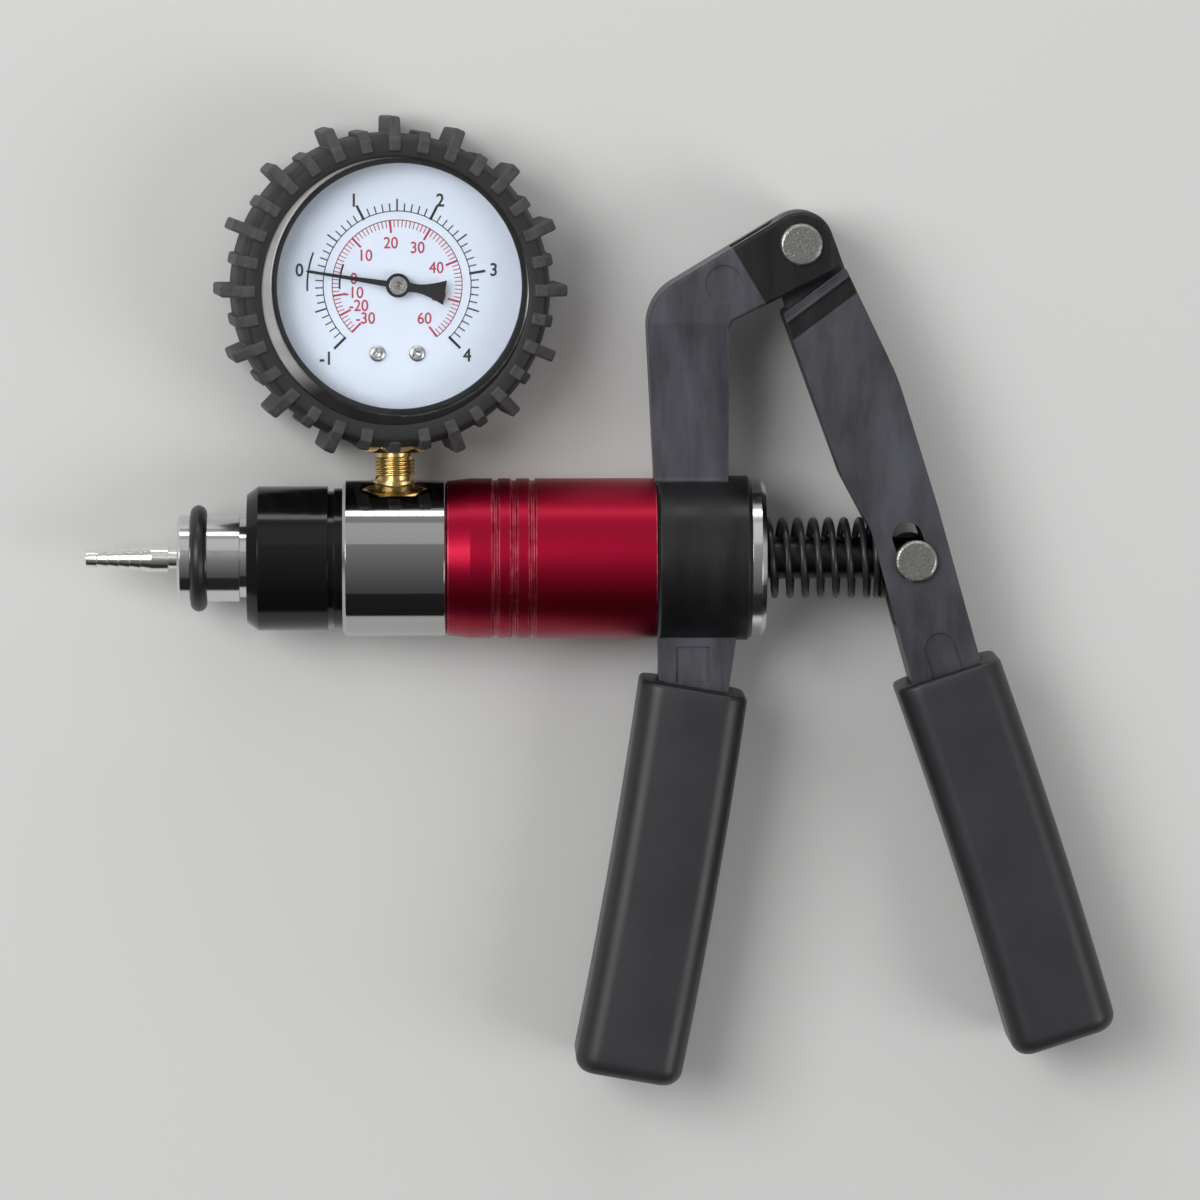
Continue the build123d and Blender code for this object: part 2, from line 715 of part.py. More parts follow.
slope = grip_slope
neck_left = arm_left + neck_shift
grip_start = Vector(neck_left + arm_w / 2, -grip_top)
grip_end = grip_start + polar(-90 - slope, grip_l)
tang_start = grip_start - polar(-90 - slope, grip_top / 2)
tang_end = grip_end - polar(-90 - slope, grip_wall)
frame += bar(tang_start, tang_end, tang_half_w, grip_bow, tang_half_t)
across = polar(-slope, arm_w / 2)
neck = make_face(Polyline((neck_left, 0), (neck_left, (grip_start - across).Y + slip),
                          (neck_left + arm_w, (grip_start + across).Y + slip),
                          (neck_left + arm_w, 0), close=True))
frame += extrude(neck, tang_half_t, both=True)
clamp = along_x(x_ring, x_cap, ring_r)
frame += chamfer(clamp.edges(), ring_bevel)
frame -= along_x(x_ring, x_cap, barrel_seat_r + slip)
frame -= along_x(x_ring - arm_flare, x_ring, barrel_r + slip)

# The fork's slot, cut square to the arm.
fork = Box(fork_depth + 2 * fork_boss_r, 4 * fork_boss_r, fork_gap,
           align=(Align.MIN, Align.CENTER, Align.CENTER))
frame -= Pos(pivot.X, pivot.Y) * Rot(0, 0, arm_slope) * Pos(-fork_depth, 0, 0) * fork
frame -= along_z(pivot.X, pivot.Y, -handle_t, handle_t, pin_r + slip)

# Cored pockets with a rib between them lighten the arm from behind.
for i in range(2):
    y = ring_r + core_rib + core_l / 2 + i * (core_l + core_rib)
    core = Pos((arm_left + arm_right) / 2 - 0.6, y) * RectangleRounded(core_w, core_l, 1.5)
    frame -= slab(core, -handle_t, -handle_face + core_depth)

# A round ejector mark at the elbow and a sunk panel on the tang's front.
mark = armpit + Vector(-mark_left, mark_up)
frame -= slab(Pos(mark.X, mark.Y) * Circle(mark_r), handle_face - mark_depth, handle_t)
panel = Pos(grip_start.X - 0.2, -ring_r - panel_below - panel_l / 2) * Rectangle(panel_w, panel_l)
frame -= slab(panel, tang_half_t - panel_depth, handle_t)
save("handle_frame", frame)

tang_room = bar(tang_start, tang_end + polar(-90 - slope, 0.2), tang_half_w + 0.2, grip_bow,
                tang_half_t + 0.2)
save("fixed_grip", grip(grip_start, grip_end, grip_bow, tang_room))


# ============================================================= squeeze lever
def on_lever(along, out):
    """A point given along the line from the pivot to the drive pin, and outwards."""
    lever_down = polar(-90 + degrees(lean))
    lever_out_dir = polar(degrees(lean))
    return pivot + lever_down * along + lever_out_dir * out


s_waist = pin_reach - waist_above_pin
lever_slope = -90 + degrees(lean) - lever_grip_slope
lever_grip_start = on_lever(pin_reach + lever_grip_past_pin, -lever_grip_shift)
lever_grip_end = lever_grip_start + polar(lever_slope, lever_grip_l)
across_grip = polar(lever_slope + 90)
blade = rounded([
    (on_lever(shoulder_in, -lever_in), 0.8), (on_lever(s_waist - waist_ramp, -lever_in), 8.0),
    (on_lever(s_waist, -lever_waist), 8.0), (lever_grip_start - across_grip * neck_in, 0),
    (lever_grip_start + across_grip * neck_out, 0), (on_lever(s_waist, lever_out_low), 40.0),
    (on_lever(belly, lever_out), 40.0), (on_lever(shoulder_in, lever_out_top), 0.5),
    (on_lever(shoulder_out, tongue_r), 0.5)])
lever = extrude(blade, handle_face, both=True)
# Both front corners of the shoulder are bevelled.
shoulder = on_lever((shoulder_in + shoulder_out) / 2, 0)
along_shoulder = on_lever(shoulder_out, tongue_r) - on_lever(shoulder_in, -lever_in)
for side in (1, -1):
    wedge = Plane(origin=shoulder + Vector(0, 0, side * handle_face), z_dir=along_shoulder,
                  x_dir=(0, 0, 1)) * Rot(0, 0, 45) * Rectangle(
                      2 * shoulder_bevel * sin(radians(45)), 2 * shoulder_bevel * sin(radians(45)))
    lever -= extrude(wedge, 2 * lever_out, both=True)
# A sunk band crosses both faces just below the shoulder.
off_shoulder = along_shoulder.normalized().rotate(Axis.Z, -90)
band_mid = shoulder + off_shoulder * (sink_start + sink_w / 2)
band = Plane(origin=band_mid, x_dir=along_shoulder, z_dir=(0, 0, 1)) * Rectangle(4 * lever_out, sink_w)
for side in (1, -1):
    lever -= Pos(0, 0, side * handle_face) * extrude(band, sink_depth, both=True)

# The tongue that turns between the fork's cheeks.
tongue = Pos(pivot.X, pivot.Y) * Circle(tongue_r)
tongue += make_face(Polyline(on_lever(0, -tongue_r), on_lever(0, tongue_r),
                             on_lever(channel_start, tongue_r),
                             on_lever(channel_start, -tongue_r), close=True))
lever += extrude(tongue, tongue_t / 2, both=True)

# The channel takes the spring's end and the plunger's nose, and is open to the barrel.
s_channel = pin_reach + channel_past_pin
channel = rounded([
    (on_lever(channel_start, -2 * lever_in), 0),
    (on_lever(channel_start, (lever_out_top + lever_out) / 2 - channel_web), 2.0),
    (on_lever(belly, lever_out - channel_web), 40.0),
    (on_lever(s_waist, lever_out_low - channel_web), 40.0),
    (on_lever(s_channel, neck_out - channel_web), 2.0),
    (on_lever(s_channel, -2 * lever_in), 0)])
lever -= extrude(channel, channel_w / 2, both=True)

# The tang, bowed like the grip.
lever_tang_start = lever_grip_start - polar(lever_slope, channel_past_pin / 2)
lever_tang_end = lever_grip_end - polar(lever_slope, grip_wall)
lever += bar(lever_tang_start, lever_tang_end, tang_half_w, grip_bow, tang_half_t)

# Pivot hole, the drive pin's slot and the arch-topped mark above the grip.
lever -= along_z(pivot.X, pivot.Y, -handle_t, handle_t, pin_r + running)
slot_r = pin_r + slot_play
slot = Pos(x_pin, 0) * Circle(slot_r)
slot_top = on_lever(pin_reach - slot_travel, 0)
slot += Pos(slot_top.X, slot_top.Y) * Circle(slot_r)
slot += make_face(Polyline(on_lever(pin_reach, -slot_r), on_lever(pin_reach, slot_r),
                           on_lever(pin_reach - slot_travel, slot_r),
                           on_lever(pin_reach - slot_travel, -slot_r), close=True))
lever -= extrude(slot, handle_t, both=True)
arch_top = lever_grip_start - polar(lever_slope, arch_l - arch_w / 2)
arch_mid = lever_grip_start - polar(lever_slope, (arch_l - arch_w / 2) / 2)
arch = Pos(arch_top.X, arch_top.Y) * Circle(arch_w / 2)
arch += Pos(arch_mid.X, arch_mid.Y) * Rot(0, 0, lever_slope + 90) * Rectangle(arch_w, arch_l - arch_w / 2)
lever -= slab(arch, handle_face - arch_depth, handle_t)
save("squeeze_lever", lever)

lever_tang_room = bar(lever_tang_start, lever_tang_end + polar(lever_slope, 0.2), tang_half_w + 0.2,
                      grip_bow, tang_half_t + 0.2)
save("lever_grip", grip(lever_grip_start, lever_grip_end, grip_bow, lever_tang_room))

# ====================================================================== gauge
gauge_pose = Pos(x_stem, gauge_h, 0) * Rot(0, gauge_turn, 0)


def hull(circles):
    """A face wrapped round (x, y, radius) circles."""
    return make_hull([Pos(x, y) * Circle(r).edge() for x, y, r in circles])


def up_the_stem(low, high, r):
    """A bar along the gauge's stem between two distances below the hub."""
    bar = Cylinder(r, low - high, align=(Align.CENTER, Align.CENTER, Align.MIN))
    return Pos(0, -high, 0) * Rot(90, 0, 0) * bar


def round_z(*points):
    """A solid turned about the dial's axis from an outline of (radius, z) points."""
    return revolve(Plane.XZ * make_face(Polyline(*points, close=True)), Axis.Z)


# Stem: a threaded shank in the manifold, a hex, a neck through the case wall and the
# block that carries the tube, the movement and the dial.
hex_bottom = gauge_h - hex_low
hex_top = hex_bottom - hex_l
neck_low = gauge_h - manifold_r - slip
block_low = ((case_r - case_wall) ** 2 - (block_w / 2) ** 2) ** 0.5 - gap
stem = up_the_stem(gauge_h - port_floor - gap, neck_low, stem_r)
stem += up_the_stem(neck_low, hex_bottom, stem_neck_r)
nut = extrude(RegularPolygon(hex_w / 2, 6, major_radius=False), hex_l)
nut &= chamfer(Cylinder(hex_w * 0.565, hex_l, align=(Align.CENTER, Align.CENTER, Align.MIN)).edges(), 0.9)
stem += Pos(0, -hex_top, 0) * Rot(90, 0, 0) * nut
stem += up_the_stem(hex_top, block_low, stem_top_r)
block = Pos(-block_w / 2, -block_low, -block_back) * Box(
    block_w, block_low - block_top, block_back + dial_z - slip, align=Align.MIN)
block -= Pos(-block_w / 2, -block_step, -block_back) * Box(
    block_w, block_step, block_back - works_back, align=Align.MIN)
stem += block
stem -= up_the_stem(gauge_h - port_floor, tube_r - tube_half_w, stem_bore_r)
stem -= Pos(0, -tube_r, tube_z) * Cylinder(stem_bore_r * 0.7, -tube_z,
                                           align=(Align.CENTER, Align.CENTER, Align.MIN))
for side in (1, -1):
    stem -= Pos(side * screw_apart / 2, -screw_below, dial_z - screw_l) * Cylinder(
        screw_shank_r + slip, screw_l, align=(Align.CENTER, Align.CENTER, Align.MIN))


def tube_part(grow, hollow, sweep):
    """The flattened tube bent round the movement, grown outwards by a clearance."""
    section = RectangleRounded(2 * (tube_half_w + grow), 2 * (tube_half_h + grow), tube_half_w * 0.9)
    if hollow:
        section -= RectangleRounded(2 * (tube_half_w - tube_wall), 2 * (tube_half_h - tube_wall),
                                    (tube_half_w - tube_wall) * 0.9)
    return Rot(0, 0, tube_tip_dir) * revolve(Plane.XZ * Pos(tube_r, tube_z) * section, Axis.Z, sweep)


stem -= tube_part(slip, False, tube_sweep + 1)
save("gauge_stem", gauge_pose * stem)

# Tube, closed at its free end by a tip that reaches in to the link.
tube = tube_part(0, True, tube_sweep)
tip = Pos(tube_r - tip_reach / 2, 0, tube_z) * Box(
    tip_reach + 2 * tube_half_w, tip_w, 2 * tube_half_h)
tip_dir = tube_tip_dir - degrees(tip_w / 2 / tube_r)
tube += Rot(0, 0, tip_dir) * tip
save("bourdon_tube", gauge_pose * tube)

# Movement: two plates on three pillars, open on the sector's side.
sector_r = sector_teeth * tooth_module / 2
pinion_r = pinion_teeth * tooth_module / 2
sector_at = polar(sector_dir, sector_r + pinion_r + mesh_play)
tail_at = sector_at + polar(sector_tail_dir, sector_tail)
plate_circles = [(x, y, 1.8) for x, y in pillars] + [(0, 0, 3.0), (sector_at.X, sector_at.Y, 2.2)]
works_plate = hull(plate_circles)
works_holes = Circle(arbor_r + running) + Pos(sector_at.X, sector_at.Y) * Circle(arbor_r + running)
foot = Pos(0, -(block_top + block_step) / 2) * Rectangle(block_w - 1, block_step - block_top - 2 * slip)
foot += Pos(foot_shift, -block_top / 2 - foot_drop) * Rectangle(foot_w, block_top)
movement = slab(works_plate + foot - works_holes, -works_back - works_plate_t, -works_back)
movement += slab(works_plate - works_holes, works_front, works_front + works_plate_t)
for x, y in pillars:
    movement += along_z(x, y, -works_back, works_front, pillar_r)
save("movement_plates", gauge_pose * movement)


def tooth_points(teeth, tip, root, centre_deg):
    """One involute tooth's outline, thinned for backlash, in rising angle."""
    pitch = teeth * tooth_module / 2
    base = pitch * cos(radians(20))
    flank = []
    for i in range(4):
        r = root + (tip - root) * i / 3
        lift = max(r, base)
        roll = tan(acos(base / lift)) - acos(base / lift)
        half = pi / teeth / 2 + tan(radians(20)) - radians(20) - roll - tooth_play / 2 / pitch
        flank.append((r, degrees(half)))
    rising = [polar(centre_deg - half, r) for r, half in flank]
    falling = [polar(centre_deg + half, r) for r, half in reversed(flank)]
    return rising + falling


sector_step = 360 / sector_teeth
pinion_step = 360 / pinion_teeth
outline = []
for k in range(sector_first, sector_last + 1):
    outline += tooth_points(sector_teeth, sector_r + 0.6 * tooth_module,
                            sector_r - 1.15 * tooth_module, k * sector_step)
rim_low = (sector_first - 0.8) * sector_step
rim_high = (sector_last + 0.8) * sector_step
rim_r = sector_r - 1.15 * tooth_module
sector = make_face(Polyline((0, 0), polar(rim_low, rim_r), *outline, polar(rim_high, rim_r), close=True))
window = make_face(Polyline((0, 0), polar(rim_low + 5, 20), polar((rim_low + rim_high) / 2, 24),
                            polar(rim_high - 5, 20), close=True))
sector -= (Circle(rim_r - sector_rim_w) - Circle(sector_hub_r)) & window
mesh_dir = sector_dir + 180
tail_local = polar(sector_tail_dir - mesh_dir, sector_tail)
sector += hull([(0, 0, 2.0), (tail_local.X, tail_local.Y, 1.1)])
sector -= Pos(tail_local.X, tail_local.Y) * Circle(stud_r + running)
sector = slab(sector, gear_z - gear_t / 2, gear_z + gear_t / 2)
sector += along_z(0, 0, -works_back - works_plate_t, works_front + works_plate_t, arbor_r)
sector_pose = Pos(sector_at.X, sector_at.Y) * Rot(0, 0, mesh_dir)
save("toothed_sector", gauge_pose * sector_pose * sector)

outline = []
for k in range(pinion_teeth):
    outline += tooth_points(pinion_teeth, pinion_r + 0.85 * tooth_module,
                            pinion_r - 0.8 * tooth_module, sector_dir + (k + 0.5) * pinion_step)
bushing_top = needle_z + needle_t + 0.5
arbor = slab(make_face(Polyline(*outline, close=True)), gear_z - gear_t * 0.7, gear_z + gear_t * 0.7)
arbor += along_z(0, 0, -works_back - works_plate_t, bushing_top - gap, arbor_r)
save("needle_arbor", gauge_pose * arbor)

link_end = polar(tip_dir, tube_r - tip_reach)
link = hull([(tail_at.X, tail_at.Y, 1.0), (link_end.X, link_end.Y, 1.0)])
link = slab(link, link_z, link_z + link_t)
link += along_z(tail_at.X, tail_at.Y, link_z + link_t, gear_z + gear_t / 2 + gap, stud_r)
save("gauge_link", gauge_pose * link)

# Case, dial and window.
case = round_z((0, -case_back), (case_r, -case_back), (case_r, case_front),
               (case_r - case_wall, case_front), (case_r - case_wall, case_wall - case_back),
               (0, case_wall - case_back))
case = fillet(case.edges().filter_by(GeomType.CIRCLE).group_by(Axis.Z)[0], 1.5)
case -= up_the_stem(case_r + 1, block_low - 1, stem_top_r + slip)
save("gauge_case", gauge_pose * case)

dial = slab(Circle(case_r - case_wall - dial_room) - Circle(dial_hole_r), dial_z, dial_z + dial_t)
screws = []
for side in (1, -1):
    x = side * screw_apart / 2
    dial -= along_z(x, -screw_below, dial_z, dial_z + dial_t, screw_shank_r + slip)
    head_z = dial_z + dial_t
    screws.append(along_z(x, -screw_below, dial_z - screw_l + gap, head_z, screw_shank_r)
                  + along_z(x, -screw_below, head_z, head_z + screw_head_t, screw_head_r))
save("dial_plate", gauge_pose * dial)
save("dial_screws", gauge_pose * Compound(screws))

lens_top = case_front + lens_t
window_r = case_r - slip - window_seal_w
bezel_lip_in = case_r - bezel_lip_w
seal_top = lens_top + window_seal_t
bezel_top = seal_top + bezel_lip_t
save("gauge_lens", gauge_pose * round_z(
    (0, case_front), (case_r - slip, case_front), (case_r - slip, lens_top), (0, lens_top)))
save("window_seal", gauge_pose * round_z(
    (window_r, lens_top), (case_r - slip, lens_top), (case_r - slip, seal_top), (window_r, seal_top)))
bezel = round_z((case_r + slip, case_front - bezel_skirt), (bezel_r, case_front - bezel_skirt),
                (bezel_r, bezel_top), (bezel_lip_in, bezel_top), (bezel_lip_in, seal_top),
                (case_r + slip, seal_top))
bezel = fillet(bezel.edges().filter_by(GeomType.CIRCLE).group_by(Axis.Z)[-1], bezel_lip_t / 2 - slip)
save("gauge_bezel", gauge_pose * bezel)

# Needle, a blackened sheet on a steel bushing.
sheet = make_face(Polyline((0.15, needle_reach), (-0.15, needle_reach), (-0.55, 0), (-0.8, -needle_hub_r),
                           (-needle_tail_w / 2, -needle_tail), (needle_tail_w / 2, -needle_tail),
                           (0.8, -needle_hub_r), (0.55, 0), close=True))
sheet = sheet + Circle(needle_hub_r) - Circle(bushing_body_r + slip)
needle_pose = gauge_pose * Rot(0, 0, needle_dir)
save("needle", needle_pose * slab(sheet, needle_z, needle_z + needle_t))
bushing = along_z(0, 0, dial_z + dial_t + gap, needle_z + needle_t, bushing_body_r)
bushing += along_z(0, 0, needle_z + needle_t, bushing_top, bushing_r)
bushing -= along_z(0, 0, 0, bushing_top, arbor_r + slip)
save("needle_bushing", gauge_pose * bushing)

# Rubber boot: a loose ring with a lip in front, an open back and a row of fins, every
# other one short.
boot = round_z((boot_back_open_r, -boot_back), (boot_r, -boot_back),
               (boot_r, boot_front - boot_bevel_l), (boot_r - boot_bevel_depth, boot_front),
               (bezel_lip_in - 1, boot_front), (bezel_lip_in - 1, boot_front - boot_lip_t),
               (boot_in, boot_front - boot_lip_t), (boot_in, boot_back_t - boot_back),
               (boot_back_open_r, boot_back_t - boot_back))
for k in range(2 * lug_count):
    tip_r = boot_r + (lug_short_h if k % 2 or k == lug_count else lug_h)
    fin = Plane.XZ * make_face(Polyline(
        (boot_in + slip, -boot_back + 0.5), (tip_r, -boot_back + 1.5),
        (tip_r, boot_front - boot_bevel_l - 1.0),
        (boot_r - boot_bevel_depth + lug_proud, boot_front - 0.6), (boot_in + slip, boot_front - 0.6),
        close=True))
    boot += Rot(0, 0, 90 + k * 180 / lug_count) * extrude(fin, lug_w / 2, both=True)
boot -= slab(Circle(boot_in - boot_lip_w), boot_front - boot_lip_t - slip, boot_front + 1)
boot = Pos(*boot_hang) * boot
boot -= up_the_stem(boot_r + 2 * lug_h, boot_in - boot_wall, boot_stem_r)
save("gauge_boot", gauge_pose * boot)
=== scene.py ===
import math
from functools import partial

import bmesh
import bpy
from mathutils import Matrix, Vector


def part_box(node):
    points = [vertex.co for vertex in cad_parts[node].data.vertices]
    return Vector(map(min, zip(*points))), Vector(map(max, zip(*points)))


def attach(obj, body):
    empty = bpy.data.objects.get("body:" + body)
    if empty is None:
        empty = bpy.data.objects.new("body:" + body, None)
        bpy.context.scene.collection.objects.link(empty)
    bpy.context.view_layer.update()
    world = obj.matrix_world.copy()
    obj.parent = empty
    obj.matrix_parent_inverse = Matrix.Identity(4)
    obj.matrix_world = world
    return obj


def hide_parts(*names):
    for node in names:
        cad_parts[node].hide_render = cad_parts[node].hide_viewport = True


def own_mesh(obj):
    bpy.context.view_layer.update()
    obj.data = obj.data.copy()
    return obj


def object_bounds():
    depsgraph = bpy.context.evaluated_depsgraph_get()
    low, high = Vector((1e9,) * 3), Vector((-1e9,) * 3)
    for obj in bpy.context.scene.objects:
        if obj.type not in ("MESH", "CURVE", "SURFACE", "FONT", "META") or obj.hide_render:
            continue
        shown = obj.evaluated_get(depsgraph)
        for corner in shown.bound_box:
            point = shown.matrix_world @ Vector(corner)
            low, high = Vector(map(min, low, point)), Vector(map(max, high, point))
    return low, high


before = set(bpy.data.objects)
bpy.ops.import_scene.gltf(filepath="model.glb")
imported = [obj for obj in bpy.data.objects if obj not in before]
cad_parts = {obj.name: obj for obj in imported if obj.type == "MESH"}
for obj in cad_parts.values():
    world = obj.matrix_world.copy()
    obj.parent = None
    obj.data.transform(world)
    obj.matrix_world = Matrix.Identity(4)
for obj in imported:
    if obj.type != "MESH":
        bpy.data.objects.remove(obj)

cad_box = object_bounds()
scene = bpy.context.scene
scene.view_settings.view_transform = "Standard"

# ---- bench, lamps and camera
# The pump lies on its side on a pale bench, dial up. A large soft box stands over its hose
# end and a smaller one at the lever. The studio is brighter on the gauge's side.
low, high = cad_box
middle = (low + high) / 2
bench_colour = (0.80, 0.80, 0.79, 1)
world_dim = 0.09
world_bright = 0.34
camera_away = Vector((-0.032, 0.108, 1.5))
view_width = 0.228


def put(tree, kind, inputs=None, **settings):
    """Adds one node to a tree, with its settings, and its inputs linked or set."""
    made = tree.nodes.new(kind)
    for name, value in settings.items():
        setattr(made, name, value)
    for name, value in (inputs or {}).items():
        if isinstance(value, bpy.types.NodeSocket):
            tree.links.new(value, made.inputs[name])
        else:
            made.inputs[name].default_value = value
    return made


def feed(tree, inputs, values):
    """Links values to the inputs that they are named for."""
    for name, value in values.items():
        tree.links.new(value, inputs[name])


def add_object(name, data):
    """A new object in the scene."""
    made = bpy.data.objects.new(name, data)
    scene.collection.objects.link(made)
    return made


def place_lamp(name, away, width, length, brightness):
    """A soft box that faces the pump, as bright as a wall of that value."""
    light = bpy.data.lights.new(name, "AREA")
    light.shape = "RECTANGLE"
    light.size = width
    light.size_y = length
    light.energy = brightness * math.pi * width * length
    lamp = add_object(name, light)
    lamp.location = middle + Vector(away)
    lamp.rotation_euler = Vector(away).to_track_quat("Z", "Y").to_euler()
    lamp.visible_camera = False


def ramp(tree, value, start, end, low=0.0, high=1.0, **settings):
    """Goes from low to high while the value goes from start to end."""
    return put(tree, "ShaderNodeMapRange", {
        "Value": value, "From Min": start, "From Max": end, "To Min": low, "To Max": high},
        **settings).outputs["Result"]


def set_shader(material, values):
    """Sets the values that are the same all over a material."""
    shader = material.node_tree.nodes["Principled BSDF"]
    for label, value in values.items():
        shader.inputs[label].default_value = value


def painted_sheet(name, corners, paint_name, paint):
    """A flat sheet with four corners, in one plain paint."""
    mesh = bpy.data.meshes.new(name)
    mesh.from_pydata(corners, [], [(0, 1, 2, 3)])
    material = bpy.data.materials.new(paint_name)
    material.use_nodes = True
    set_shader(material, paint)
    mesh.materials.append(material)
    return add_object(name, mesh)


place_lamp("soft_box_hose_end", (-0.72, 0.32, 1.25), 0.7, 0.9, 5.4)
place_lamp("soft_box_lever", (1.0, -0.35, 1.0), 0.6, 0.8, 3.0)
place_lamp("strip_gauge_side", (0.1, 1.25, 0.38), 1.3, 0.2, 3.6)
place_lamp("wide_gauge_side", (0.0, 1.0, 1.15), 1.5, 0.9, 0.25)

world = bpy.data.worlds.new("studio")
scene.world = world
world.use_nodes = True
sky = world.node_tree
sky.nodes["Background"].inputs["Color"].default_value = (1, 1, 1, 1)
way = put(sky, "ShaderNodeSeparateXYZ", {
    "Vector": put(sky, "ShaderNodeTexCoord").outputs["Generated"]})
feed(sky, sky.nodes["Background"].inputs, {
    "Strength": ramp(sky, way.outputs["Y"], -0.7, 0.7, world_dim, world_bright)})

bench_half = 12.0
bench_gap = 0.00005
bench_top = low.z - bench_gap
bench = painted_sheet("bench", [
    (x * bench_half, y * bench_half, bench_top) for x, y in ((-1, -1), (1, -1), (1, 1), (-1, 1))],
    "bench_paint", {"Base Color": bench_colour, "Roughness": 0.8, "Specular IOR Level": 0.2})

# A black card stands beside the pump, out of sight, and darkens one side of the metal.
card_y = -0.85
card_tall = 0.72
card_from, card_to = -0.7, 0.9
card = painted_sheet("black_card", [
    (card_from, card_y, 0.0), (card_to, card_y, 0.0), (card_to, card_y, card_tall),
    (card_from, card_y, card_tall)],
    "card_paint", {"Base Color": (0.01, 0.01, 0.01, 1), "Roughness": 1.0})
card.visible_camera = False

camera = add_object("camera", bpy.data.cameras.new("camera"))
camera.location = middle + camera_away
back_way = camera_away.normalized()
right_way = Vector((0, 1, 0)).cross(back_way).normalized()
up_way = back_way.cross(right_way)
camera.rotation_euler = Matrix((right_way, up_way, back_way)).transposed().to_euler()
camera.data.lens = camera.data.sensor_width * camera_away.length / view_width
camera.data.clip_start = 0.05
camera.data.clip_end = 50
scene.camera = camera

# ---- hose nozzle
# A brass barb, turned on a lathe and plated bright. The cutting tool leaves fine rings
# round it, and the plating is rubbed a little brighter along the edges.
mm = 0.001
nozzle_colour = (0.88, 0.87, 0.85, 1)
nozzle_ring_pitch = 0.16 * mm
nozzle_ring_depth = 0.0030 * mm


def work_out(tree, operation, first, second=0.0, third=0.0):
    """One sum in a tree."""
    return put(tree, "ShaderNodeMath", {0: first, 1: second, 2: third},
               operation=operation).outputs[0]


def own_place(tree):
    """Where the shaded point lies, in the pump's own frame."""
    return put(tree, "ShaderNodeTexCoord").outputs["Object"]


def mottle(tree, place, patch_size, detail, roughness=0.5):
    """Soft noise, with patches of about this size."""
    return put(tree, "ShaderNodeTexNoise", {
        "Vector": place, "Detail": detail, "Roughness": roughness,
        "Scale": work_out(tree, "DIVIDE", 1.0, patch_size)}).outputs["Fac"]


def mix_colour(tree, share, first, second):
    """One colour going over to another."""
    return put(tree, "ShaderNodeMix", {"Factor": share, 6: first, 7: second},
               data_type="RGBA").outputs[2]


def shared_effect(name, inputs, outputs):
    """A shader group with named sockets, what it is given and what it gives back."""
    group = bpy.data.node_groups.new(name, "ShaderNodeTree")
    for label, kind, value in inputs:
        socket = group.interface.new_socket(label, in_out="INPUT", socket_type=kind)
        socket.default_value = value
    for label, kind in outputs:
        group.interface.new_socket(label, in_out="OUTPUT", socket_type=kind)
    return (group, group.nodes.new("NodeGroupInput").outputs,
            group.nodes.new("NodeGroupOutput").inputs)


number, shade, arrow = "NodeSocketFloat", "NodeSocketColor", "NodeSocketVector"

# Rings left by a lathe tool: their height, and the unevenness of the shine round them.
lathe_rings, given, result = shared_effect("lathe_rings", [
    ("Axis Position", number, 0.0), ("Pitch", number, 0.0002), ("Depth", number, 0.000003),
    ("Roughness", number, 0.2), ("Unevenness", number, 0.05)],
    [("Height", number), ("Roughness", number)])
turns = work_out(lathe_rings, "DIVIDE", given["Axis Position"], given["Pitch"])
ridges = put(lathe_rings, "ShaderNodeTexNoise", {"W": turns, "Scale": 1.0, "Detail": 2.0},
             noise_dimensions="1D").outputs["Fac"]
smears = put(lathe_rings, "ShaderNodeTexNoise", {
    "Vector": own_place(lathe_rings), "Scale": 240.0, "Detail": 3.0}).outputs["Fac"]
spread = work_out(lathe_rings, "SUBTRACT", work_out(lathe_rings, "ADD", ridges, smears), 1.0)
feed(lathe_rings, result, {
    "Height": work_out(lathe_rings, "MULTIPLY", ridges, given["Depth"]),
    "Roughness": work_out(lathe_rings, "MULTIPLY_ADD", spread, given["Unevenness"],
                          given["Roughness"])})

# Wear on edges, and on the barrel a painted highlight: where the surface turns sharply, its colour
# goes over to the edge colour.
edge_wear_and_highlight, given, result = shared_effect("edge_wear_and_highlight", [
    ("Color", shade, (0.5, 0.5, 0.5, 1)), ("Edge Color", shade, (0.8, 0.8, 0.8, 1)),
    ("Amount", number, 0.3), ("Patch Size", number, 0.002)],
    [("Color", shade), ("Edge Share", number)])
turned_normal = put(edge_wear_and_highlight, "ShaderNodeBevel", {"Radius": 0.0005}, samples=4)
plain_normal = put(edge_wear_and_highlight, "ShaderNodeNewGeometry")
facing = put(edge_wear_and_highlight, "ShaderNodeVectorMath", {0: turned_normal.outputs["Normal"],
             1: plain_normal.outputs["Normal"]}, operation="DOT_PRODUCT")
turning = work_out(edge_wear_and_highlight, "SUBTRACT", 1.0, facing.outputs["Value"])
turning = ramp(edge_wear_and_highlight, turning, 0.01, 0.12)
patch = mottle(edge_wear_and_highlight, own_place(edge_wear_and_highlight), given["Patch Size"], 4.0)
patch = ramp(edge_wear_and_highlight, patch, 0.4, 0.62, 0.25, 1.0)
edge_share = work_out(edge_wear_and_highlight, "MULTIPLY", turning, patch)
edge_share = work_out(edge_wear_and_highlight, "MULTIPLY", edge_share, given["Amount"])
feed(edge_wear_and_highlight, result, {
    "Color": mix_colour(edge_wear_and_highlight, edge_share, given["Color"], given["Edge Color"]), "Edge Share": edge_share})


